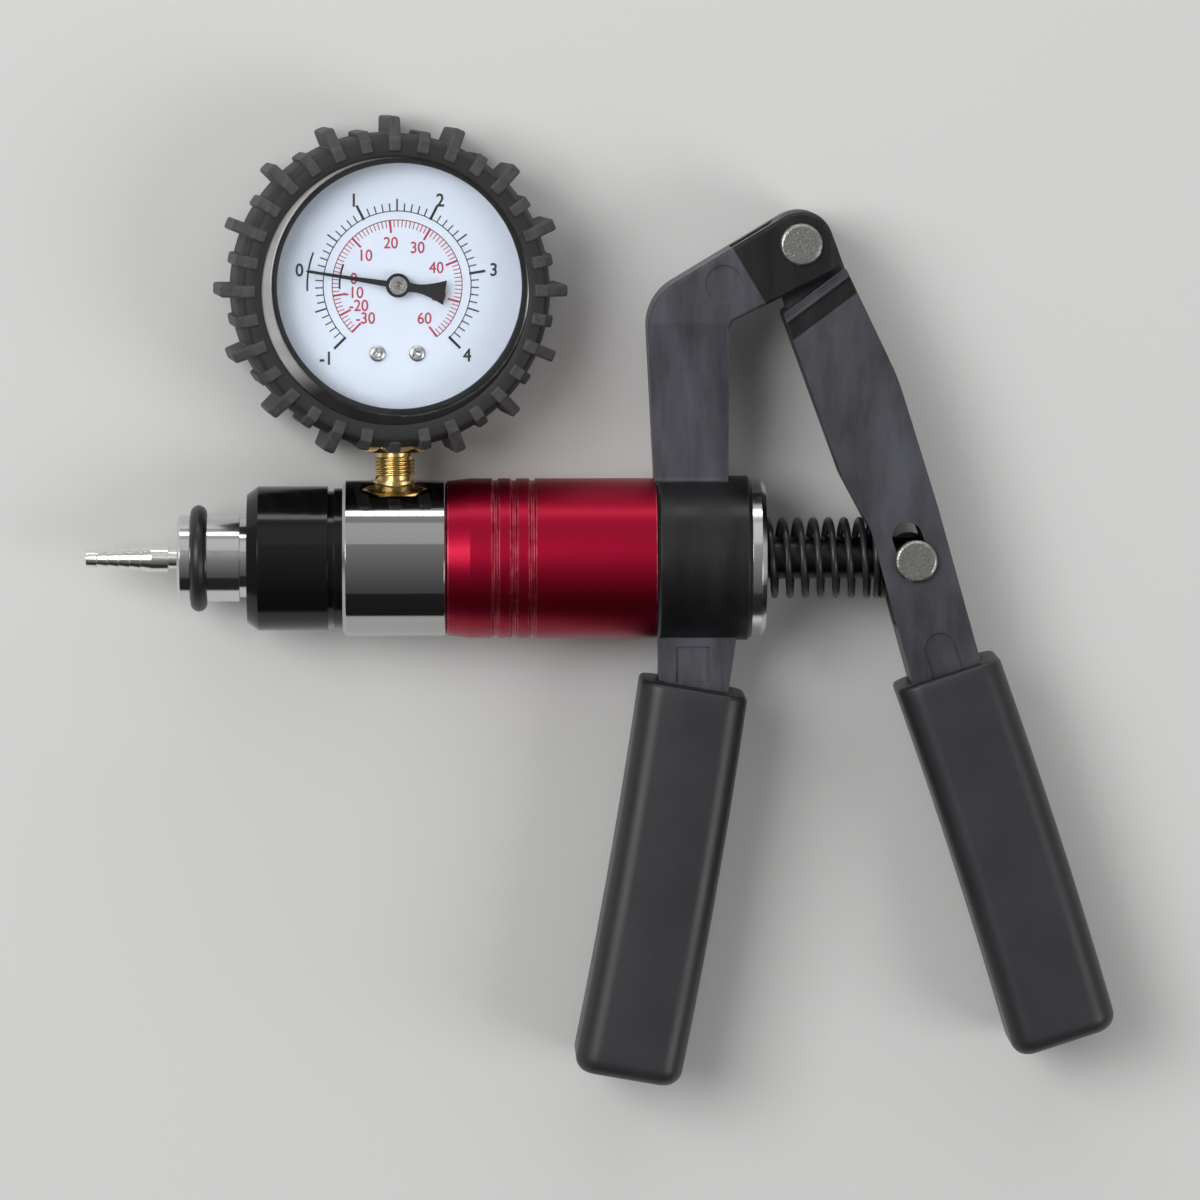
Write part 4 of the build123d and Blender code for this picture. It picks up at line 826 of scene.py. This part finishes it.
def copies_round(tree, given, copies, radius, height, piece):
    """Copies of a piece at equal angles round a circle, each pointing outwards."""
    spots = put(tree, "GeometryNodeMeshLine", {"Count": copies})
    step = put(tree, "GeometryNodeInputIndex").outputs[0]
    turned_by = work_out(tree, "RADIANS", work_out(
        tree, "MULTIPLY_ADD", step, given["Step Angle"], given["First Angle"]))
    spread_out = put(tree, "GeometryNodeSetPosition", {
        "Geometry": spots.outputs["Mesh"],
        "Position": spot_on_circle(tree, turned_by, radius, height)})
    way = put(tree, "ShaderNodeCombineXYZ", {"Z": work_out(tree, "MULTIPLY", turned_by, -1.0)})
    return put(tree, "GeometryNodeInstanceOnPoints", {
        "Points": spread_out.outputs["Geometry"], "Instance": piece,
        "Rotation": way.outputs["Vector"]}).outputs["Instances"]


# Marks at equal angles round an arc, each a thin bar pointing to the middle.
marks_tree, given, result = new_tree("scale_marks", [
    ("Marks", count, 51), ("First Angle", size, -135.0), ("Step Angle", size, 5.4),
    ("Inner Radius", size, 0.014), ("Length", size, 0.0014), ("Width", size, 0.0002),
    ("Height", size, 0.0055), ("Ink", size, 0.00003), ("Material", finish, None)])
reach = work_out(marks_tree, "MULTIPLY_ADD", given["Length"], 0.5, given["Inner Radius"])
height = work_out(marks_tree, "MULTIPLY_ADD", given["Ink"], 0.5, given["Height"])
bar_size = put(marks_tree, "ShaderNodeCombineXYZ", {
    "X": given["Width"], "Y": given["Length"], "Z": given["Ink"]})
mark = put(marks_tree, "GeometryNodeMeshCube", {"Size": bar_size.outputs["Vector"]})
give_back(marks_tree, result, copies_round(marks_tree, given, given["Marks"], reach, height,
                                           mark.outputs["Mesh"]), given["Material"])

# An arc line round the dial, a flat ribbon between two angles.
arc_tree, given, result = new_tree("scale_arc", [
    ("Points", count, 120), ("First Angle", size, -135.0), ("Last Angle", size, 135.0),
    ("Radius", size, 0.014), ("Width", size, 0.0002), ("Height", size, 0.0055),
    ("Ink", size, 0.00003), ("Material", finish, None)])
line = put(arc_tree, "GeometryNodeMeshLine", {"Count": given["Points"]})
path = put(arc_tree, "GeometryNodeMeshToCurve", {"Mesh": line.outputs["Mesh"]})
step = put(arc_tree, "GeometryNodeInputIndex").outputs[0]
arc_sum = partial(work_out, arc_tree)
share = arc_sum("DIVIDE", step, arc_sum("SUBTRACT", given["Points"], 1.0))
swing = arc_sum("SUBTRACT", given["Last Angle"], given["First Angle"])
turned_by = arc_sum("RADIANS", arc_sum("MULTIPLY_ADD", share, swing, given["First Angle"]))
height = arc_sum("MULTIPLY_ADD", given["Ink"], 0.5, given["Height"])
bent = put(arc_tree, "GeometryNodeSetPosition", {
    "Geometry": path.outputs["Curve"],
    "Position": spot_on_circle(arc_tree, turned_by, given["Radius"], height)})
level = put(arc_tree, "GeometryNodeSetCurveNormal", {"Curve": bent.outputs["Geometry"]},
            mode="Z_UP")
ribbon = put(arc_tree, "GeometryNodeCurvePrimitiveQuadrilateral", {
    "Width": given["Width"], "Height": given["Ink"]})
drawn = put(arc_tree, "GeometryNodeCurveToMesh", {
    "Curve": level.outputs["Curve"], "Profile Curve": ribbon.outputs["Curve"],
    "Fill Caps": True})
give_back(arc_tree, result, drawn.outputs["Mesh"], given["Material"])


def scale_marks(ink, marks, first, step, inner, length, width):
    """Marks from a first angle, a step apart, by their inner radius, length and width in mm."""
    return grow("marks", marks_tree, {
        "Marks": marks, "First Angle": first, "Step Angle": step, "Inner Radius": inner * mm,
        "Length": length * mm, "Width": width * mm, "Height": dial_face, "Ink": ink_t,
        "Material": ink}, gauge_place)


def scale_arc(ink, first, last, radius, width):
    """An arc line between two angles, by its radius and width in mm."""
    return grow("arc", arc_tree, {
        "Points": 120, "First Angle": first, "Last Angle": last,
        "Radius": radius * mm, "Width": width * mm, "Height": dial_face, "Ink": ink_t,
        "Material": ink}, gauge_place)


# A numeral as the type comes: its size, the height it then has, and its depth.
type_size = 10 * mm
type_tall = 7 * mm
type_deep = 5 * mm
type_narrow = 0.92


def figure(ink, words, angle, radius, tall, heavier):
    """A printed number, upright, by its angle, radius and height in mm, with heavier strokes."""
    text = bpy.data.curves.new("figure", "FONT")
    text.body = words
    text.size = type_size
    text.extrude = type_deep
    text.bevel_depth = heavier * type_tall / (tall * mm)
    text.bevel_resolution = 0
    held = add_object("figure", text)
    mesh = applied(held)
    bpy.data.objects.remove(held)
    lows = [min(v.co[i] for v in mesh.vertices) for i in range(3)]
    highs = [max(v.co[i] for v in mesh.vertices) for i in range(3)]
    scale = tall * mm / (highs[1] - lows[1])
    centre = Vector([(a + b) / 2 for a, b in zip(lows, highs)])
    squeeze = Matrix.Diagonal((scale * type_narrow, scale, ink_t / (highs[2] - lows[2]), 1))
    a = math.radians(angle)
    spot = Vector((radius * mm * math.sin(a), radius * mm * math.cos(a), dial_face + ink_t / 2))
    mesh.transform(gauge_place @ Matrix.Translation(spot) @ squeeze @ Matrix.Translation(-centre))
    mesh.materials.clear()
    mesh.materials.append(ink)
    return add_object("figure", mesh)


def join(name, pieces):
    """One object from several, with their faces and finishes kept."""
    work = bmesh.new()
    finishes = []
    for piece in pieces:
        known = len(work.faces)
        work.from_mesh(piece.data)
        work.faces.ensure_lookup_table()
        finish = [material for material in piece.data.materials if material][0]
        if finish not in finishes:
            finishes.append(finish)
        for face in work.faces[known:]:
            face.material_index = finishes.index(finish)
    mesh = bpy.data.meshes.new(name)
    work.to_mesh(mesh)
    work.free()
    for material in finishes:
        mesh.materials.append(material)
    for piece in pieces:
        bpy.data.objects.remove(piece)
    return add_object(name, mesh)


# One bar takes up 54 degrees. The inner scale counts psi above zero, and inches of mercury
# below it.
bar_angle = 54.0
zero_angle = -81.0
psi_angle = bar_angle / 14.5038
inhg_angle = bar_angle / 29.53
black_from = zero_angle - bar_angle
black_to = zero_angle + 4 * bar_angle
black_r = 14.0
black_tall = 2.5
black_heavier = 0.070 * mm
zero_spread = 12.5
printed = [
    scale_arc(black_ink, black_from, black_to, black_r, 0.18),
    scale_marks(black_ink, 51, black_from, bar_angle / 10, black_r, 1.5, 0.24),
    scale_marks(black_ink, 11, black_from, bar_angle / 2, black_r, 2.3, 0.30),
    scale_marks(black_ink, 6, black_from, bar_angle, black_r - 0.2, 3.1, 0.50)]
for radius in (17.0, 10.9):
    printed.append(scale_arc(black_ink, zero_angle - zero_spread, zero_angle + zero_spread, radius, 0.34))
for value, radius in ((-1, 19.4), (0, 18.7), (1, 18.0), (2, 18.0), (3, 18.5), (4, 18.7)):
    printed.append(figure(black_ink, str(value), zero_angle + value * bar_angle, radius, black_tall,
                          black_heavier))
black_print = join("dial_print_black", printed)
red_from = zero_angle - 30 * inhg_angle
red_to = zero_angle + 60 * psi_angle
red_r = 10.95
red_tall = 2.2
red_heavier = 0.035 * mm
printed = [scale_arc(red_ink, red_from, red_to, 12.3, 0.16)]
for first, fine, fine_step, bold, bold_step in (
        (zero_angle, 61, psi_angle, 7, 10 * psi_angle),
        (red_from, 16, 2 * inhg_angle, 4, 10 * inhg_angle)):
    printed.append(scale_marks(red_ink, fine, first, fine_step, red_r, 1.35, 0.18))
    printed.append(scale_marks(red_ink, bold, first, bold_step, 9.9, 2.4, 0.40))
for value in (10, 20, 30, 40, 50, 60):
    printed.append(figure(red_ink, str(value), zero_angle + value * psi_angle - 2, 8.1, red_tall,
                          red_heavier))
for value, radius in ((0, 8.3), (-10, 8.3), (-20, 8.2), (-30, 8.6)):
    printed.append(figure(red_ink, str(value), zero_angle + value * inhg_angle, radius, red_tall,
                          red_heavier))
red_print = join("dial_print_red", printed)
for piece in (black_print, red_print):
    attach(piece, "pump")

# Two small pan-head screws with cross recesses hold the dial to the block behind it.
screw_r = 1.6 * mm
screw_t = 0.7 * mm
shank_r = 0.9 * mm
shank_l = 4.0 * mm
recess_w = 0.42 * mm
recess_l = 1.9 * mm
recess_depth = 0.45 * mm
screw_side = 3.75 * mm
screw_low = -12.9 * mm
screw_round = 40
dome_from = 0.3
dome_steps = 6
flat_share = 0.45
pin_hole_r = 0.02 * mm


def cut(piece, cutter):
    """Cuts one object with another, which goes."""
    carve = piece.modifiers.new("cut", "BOOLEAN")
    carve.operation = "DIFFERENCE"
    carve.solver = "EXACT"
    carve.object = cutter
    mesh = applied(piece)
    piece.modifiers.remove(carve)
    piece.data = mesh
    bpy.data.objects.remove(cutter)


screw_steel = moulded("bright_screw", (0.80, 0.80, 0.79, 1), (0.66, 0.66, 0.64, 1), 0.24,
                      cloud_size=0.8 * mm, depth=0.002 * mm, edge_share=0.6,
                      edge_colour=(0.95, 0.95, 0.95, 1), softened=0.12 * mm)
set_shader(screw_steel, {"Metallic": 1.0})
shank_end = dial_face + 0.05 * mm - shank_l
screw_outline = [(shank_end, pin_hole_r), (shank_end, shank_r), (dial_face, shank_r),
                 (dial_face, screw_r), (dial_face + dome_from * screw_t, screw_r)]
for step in range(1, dome_steps + 1):
    a = math.radians(90 * step / dome_steps)
    screw_outline.append((dial_face + screw_t * (dome_from + (1 - dome_from) * math.sin(a)),
                          screw_r * (flat_share + (1 - flat_share) * math.cos(a))))
screw_outline.append((dial_face + screw_t, pin_hole_r))
screws = []
for side in (-1, 1):
    screw = turned("dial_screw", screw_outline, screw_round, lambda along, across, up: (
        side * screw_side + across, screw_low + up, along))
    for turn in (20, 110):
        slot_cut = bmesh.new()
        bmesh.ops.create_cube(slot_cut, size=1.0)
        cutter = close_up(slot_cut, "recess")
        cutter.data.transform(
            Matrix.Translation((side * screw_side, screw_low, dial_face + screw_t))
            @ Matrix.Rotation(math.radians(turn + side * 14), 4, "Z")
            @ Matrix.Diagonal((recess_l, recess_w, 2 * recess_depth, 1)))
        cut(screw, cutter)
    screw.data.materials.clear()
    screw.data.materials.append(screw_steel)
    screws.append(screw)
dial_screws = join("dial_screws_pair", screws)
dial_screws.data.transform(gauge_place)
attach(dial_screws, "pump")
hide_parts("dial_screws")

# ---- needle
# Thin sheet, painted black, pressed on the arbor by a small plated bushing. Its flared tail
# balances the long blade.
needle_black = moulded("needle_black", (0.006, 0.006, 0.007, 1), (0.009, 0.009, 0.010, 1), 0.5,
                       depth=0.0005 * mm, edge_colour=(0.05, 0.05, 0.05, 1), softened=0.05 * mm)
set_shader(needle_black, {"Specular IOR Level": 0.25})
# The blade tapers to its tip. Behind the hub the tail narrows, then flares to its end. The
# outline is half of it in mm, as (half width, way from the hub).
needle_back = 7.0 * mm
needle_t = 0.45 * mm
needle_turn = math.radians(81.0)
needle_hub_r = 2.3
half_outline = [(0.10, 17.5), (0.24, 17.1), (0.36, 9.0), (0.58, 2.25)]
for step in range(1, 12):
    a = math.radians(75 - 12.7 * step)
    half_outline.append((needle_hub_r * math.cos(a), needle_hub_r * math.sin(a)))
half_outline += [(0.84, -2.7), (0.80, -3.8), (0.98, -5.0), (1.35, -6.4), (1.85, -7.8), (2.35, -9.0)]
outline = half_outline + [(-x, y) for x, y in reversed(half_outline)]
work = bmesh.new()
back, front = [ring_of_points(work, [(x * mm, y * mm, height) for x, y in outline])
               for height in (needle_back, needle_back + needle_t)]
skin_rings(work, [back, front])
needle = close_up(work, "needle_blade")
for face in needle.data.polygons:
    face.use_smooth = False
needle.data.transform(gauge_place @ Matrix.Rotation(needle_turn, 4, "Z"))
needle.data.materials.append(needle_black)
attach(needle, "needle")
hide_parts("needle")
dress(screw_steel, "needle_bushing")
dress(pin_plate, "needle_arbor")

# ---- window, its seal and the bezel
# A flat clear window, held against a rubber ring by a rolled bezel of bright steel. The bezel
# is painted darker towards its lower side.
lens = bpy.data.materials.new("clear_window")
lens.use_nodes = True
set_shader(lens, {"Base Color": (0.97, 0.985, 0.99, 1), "Roughness": 0.02, "IOR": 1.45,
                  "Transmission Weight": 1.0})
lens_tree = lens.node_tree
clear = put(lens_tree, "ShaderNodeBsdfTransparent")
path_kind = put(lens_tree, "ShaderNodeLightPath")
lens_mix = put(lens_tree, "ShaderNodeMixShader", {
    0: path_kind.outputs["Is Shadow Ray"], 2: clear.outputs["BSDF"],
    1: lens_tree.nodes["Principled BSDF"].outputs["BSDF"]})
feed(lens_tree, lens_tree.nodes["Material Output"].inputs, {"Surface": lens_mix.outputs["Shader"]})
dress(lens, "gauge_lens")
bezel_steel = moulded("bright_bezel", (0.60, 0.60, 0.61, 1), (0.52, 0.52, 0.53, 1), 0.42,
                      cloud_size=4 * mm, depth=0.001 * mm, edge_colour=(0.95, 0.95, 0.95, 1))
set_shader(bezel_steel, {"Metallic": 1.0})
tree = bezel_steel.node_tree
# The bezel's colour goes over to near black towards its lower side.
bezel_low = gauge_tilt @ Vector((0.30, -0.95, 0))
darker_below = ramp(tree, how_far(tree, hub, bezel_low), 6 * mm, 15 * mm, interpolation_type="SMOOTHSTEP")
feed(tree, tree.nodes["skin"].inputs, {
    "Color": mix_colour(tree, darker_below, (0.60, 0.60, 0.61, 1), (0.035, 0.035, 0.037, 1))})
tree.nodes["skin"].inputs["Clouding"].default_value = 0.0
dress(bezel_steel, "gauge_bezel")

# ---- gauge boot
# A thick rubber ring that hangs loose over the gauge, with long and short fins moulded
# round its rim, all but one with a rib over the front edge. It hangs a little off centre.
boot_in = 28.0 * mm
boot_out = 29.6 * mm
boot_back = -13.0 * mm
boot_front = 13.25 * mm
lip_open = 25.2 * mm
lip_t = 0.45 * mm
back_open = 19.6 * mm
back_t = 1.7 * mm
bevel_l = 4.3 * mm
bevel_in = 1.2 * mm
boot_hang = Vector((-0.93, -0.93, 0)) * mm
stem_hole_r = 6.8 * mm
stem_hole_l = 20 * mm
stem_hole_y = -34 * mm
fin_w = 2.3 * mm
fin_reach = 32.8 * mm
fin_short_reach = 30.5 * mm
fin_foot = 28.4 * mm
fin_back = -12.5 * mm
fin_front = 13.6 * mm
fin_tip_back = -11.5 * mm
fin_tip_front = 10.6 * mm
rib_foot = 26.3 * mm
rib_reach = 28.9 * mm
rib_back = 12.9 * mm
rib_front = 13.75 * mm
rubber_round = 0.45 * mm
boot_round = 180
long_fins = 15
short_fins = 16
fin_step = 22.5
stem_way = 180.0

bevel_r = boot_out - bevel_in
boot_outline = [
    (boot_front - lip_t, lip_open), (boot_front - lip_t / 2, lip_open - 0.05 * mm),
    (boot_front - 0.12 * mm, lip_open + 0.15 * mm), (boot_front, lip_open + 0.5 * mm),
    (boot_front, bevel_r - 0.6 * mm), (boot_front - 0.2 * mm, bevel_r - 0.1 * mm),
    (boot_front - 0.8 * mm, bevel_r + 0.25 * mm),
    (boot_front - bevel_l + 0.5 * mm, boot_out - 0.1 * mm), (boot_front - bevel_l, boot_out),
    (0.0, boot_out), (boot_back + 1.2 * mm, boot_out), (boot_back + 0.35 * mm, boot_out - 0.35 * mm),
    (boot_back, boot_out - 1.2 * mm), (boot_back, back_open + 0.4 * mm),
    (boot_back + 0.4 * mm, back_open), (boot_back + back_t, back_open),
    (boot_back + back_t, boot_in), (0.0, boot_in), (boot_front - lip_t, boot_in)]
boot_ring = turned("boot_ring", boot_outline, boot_round,
                   lambda along, across, up: (up, across, along), closed=True)

fins_tree, given, result = new_tree("boot_fins", [
    ("Fins", count, 16), ("First Angle", size, 0.0), ("Step Angle", size, 22.5),
    ("Foot Radius", size, 0.027), ("Reach", size, 0.033), ("Width", size, 0.0023),
    ("Back", size, -0.013), ("Front", size, 0.0138), ("Tip Back", size, -0.012),
    ("Tip Front", size, 0.008), ("Material", finish, None)])
fin_sum = partial(work_out, fins_tree)
mid = fin_sum("MULTIPLY", fin_sum("ADD", given["Foot Radius"], given["Reach"]), 0.5)
fin_size = put(fins_tree, "ShaderNodeCombineXYZ", {
    "X": given["Width"], "Y": fin_sum("SUBTRACT", given["Reach"], given["Foot Radius"]), "Z": 0.01})
fin_block = put(fins_tree, "GeometryNodeMeshCube", {"Size": fin_size.outputs["Vector"]})
corner = put(fins_tree, "ShaderNodeSeparateXYZ", {
    "Vector": put(fins_tree, "GeometryNodeInputPosition").outputs["Position"]})
at_tip = fin_sum("GREATER_THAN", corner.outputs["Y"], 0.0)
in_front = fin_sum("GREATER_THAN", corner.outputs["Z"], 0.0)
front = ramp(fins_tree, at_tip, 0.0, 1.0, given["Front"], given["Tip Front"])
back = ramp(fins_tree, at_tip, 0.0, 1.0, given["Back"], given["Tip Back"])
fin_z = ramp(fins_tree, in_front, 0.0, 1.0, back, front)
shaped = put(fins_tree, "ShaderNodeCombineXYZ", {
    "X": corner.outputs["X"], "Y": corner.outputs["Y"], "Z": fin_z})
fin = put(fins_tree, "GeometryNodeSetPosition", {
    "Geometry": fin_block.outputs["Mesh"], "Position": shaped.outputs["Vector"]})
give_back(fins_tree, result, copies_round(fins_tree, given, given["Fins"], mid, 0.0,
                                          fin.outputs["Geometry"]), given["Material"])

# The fins are painted paler than the ring they stand on: painted light on the same rubber.
boot_rubber = moulded("boot_rubber", (0.016, 0.016, 0.017, 1), (0.026, 0.026, 0.027, 1), 0.60,
                      unevenness=0.12, cloud_size=3 * mm, grain=0.3 * mm, depth=0.012 * mm,
                      edge_share=0.30, edge_colour=(0.07, 0.07, 0.07, 1), softened=0.35 * mm)
lit_fin_rubber = moulded("lit_fin_rubber", (0.046, 0.046, 0.046, 1), (0.088, 0.088, 0.086, 1), 0.62,
                     unevenness=0.12, cloud_size=1.6 * mm, clouding=0.8, grain=0.3 * mm,
                     depth=0.014 * mm, edge_share=0.5, edge_colour=(0.16, 0.16, 0.157, 1),
                     softened=0.3 * mm)
boot_ring.data.materials.append(boot_rubber)
boot_parts = [boot_ring]
outer = (fin_foot, fin_back, fin_front, fin_tip_back, fin_tip_front)
inner = (rib_foot, rib_back, rib_front, rib_back, fin_front)
for name, fins, first, reach, sides in (
        ("long_fins", long_fins, stem_way + fin_step, fin_reach, outer),
        ("long_ribs", long_fins, stem_way + fin_step, rib_reach, inner),
        ("short_fins", short_fins, fin_step / 2, fin_short_reach, outer),
        ("short_ribs", short_fins, fin_step / 2, rib_reach, inner),
        ("stem_fin", 1, stem_way, fin_short_reach, outer)):
    foot, back, front, tip_back, tip_front = sides
    row = grow(name, fins_tree, {
        "Fins": fins, "First Angle": first, "Step Angle": fin_step, "Foot Radius": foot,
        "Reach": reach, "Width": fin_w, "Back": back, "Front": front,
        "Tip Back": tip_back, "Tip Front": tip_front, "Material": lit_fin_rubber})
    rounding = row.modifiers.new("rounding", "BEVEL")
    rounding.width = rubber_round
    rounding.segments = 2
    rounded = applied(row)
    row.modifiers.remove(rounding)
    row.data = rounded
    boot_parts.append(row)
for part in boot_parts:
    part.data.transform(Matrix.Translation(boot_hang))
    hole = bmesh.new()
    bmesh.ops.create_cone(hole, cap_ends=True, segments=64, radius1=stem_hole_r,
                          radius2=stem_hole_r, depth=stem_hole_l)
    cutter = close_up(hole, "stem_hole")
    cutter.data.transform(Matrix.Translation((0, stem_hole_y, 0))
                          @ Matrix.Rotation(math.radians(90), 4, "X"))
    cut(part, cutter)
boot = join("gauge_boot_rubber", boot_parts)
boot.data.transform(gauge_place)
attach(boot, "pump")
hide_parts("gauge_boot")
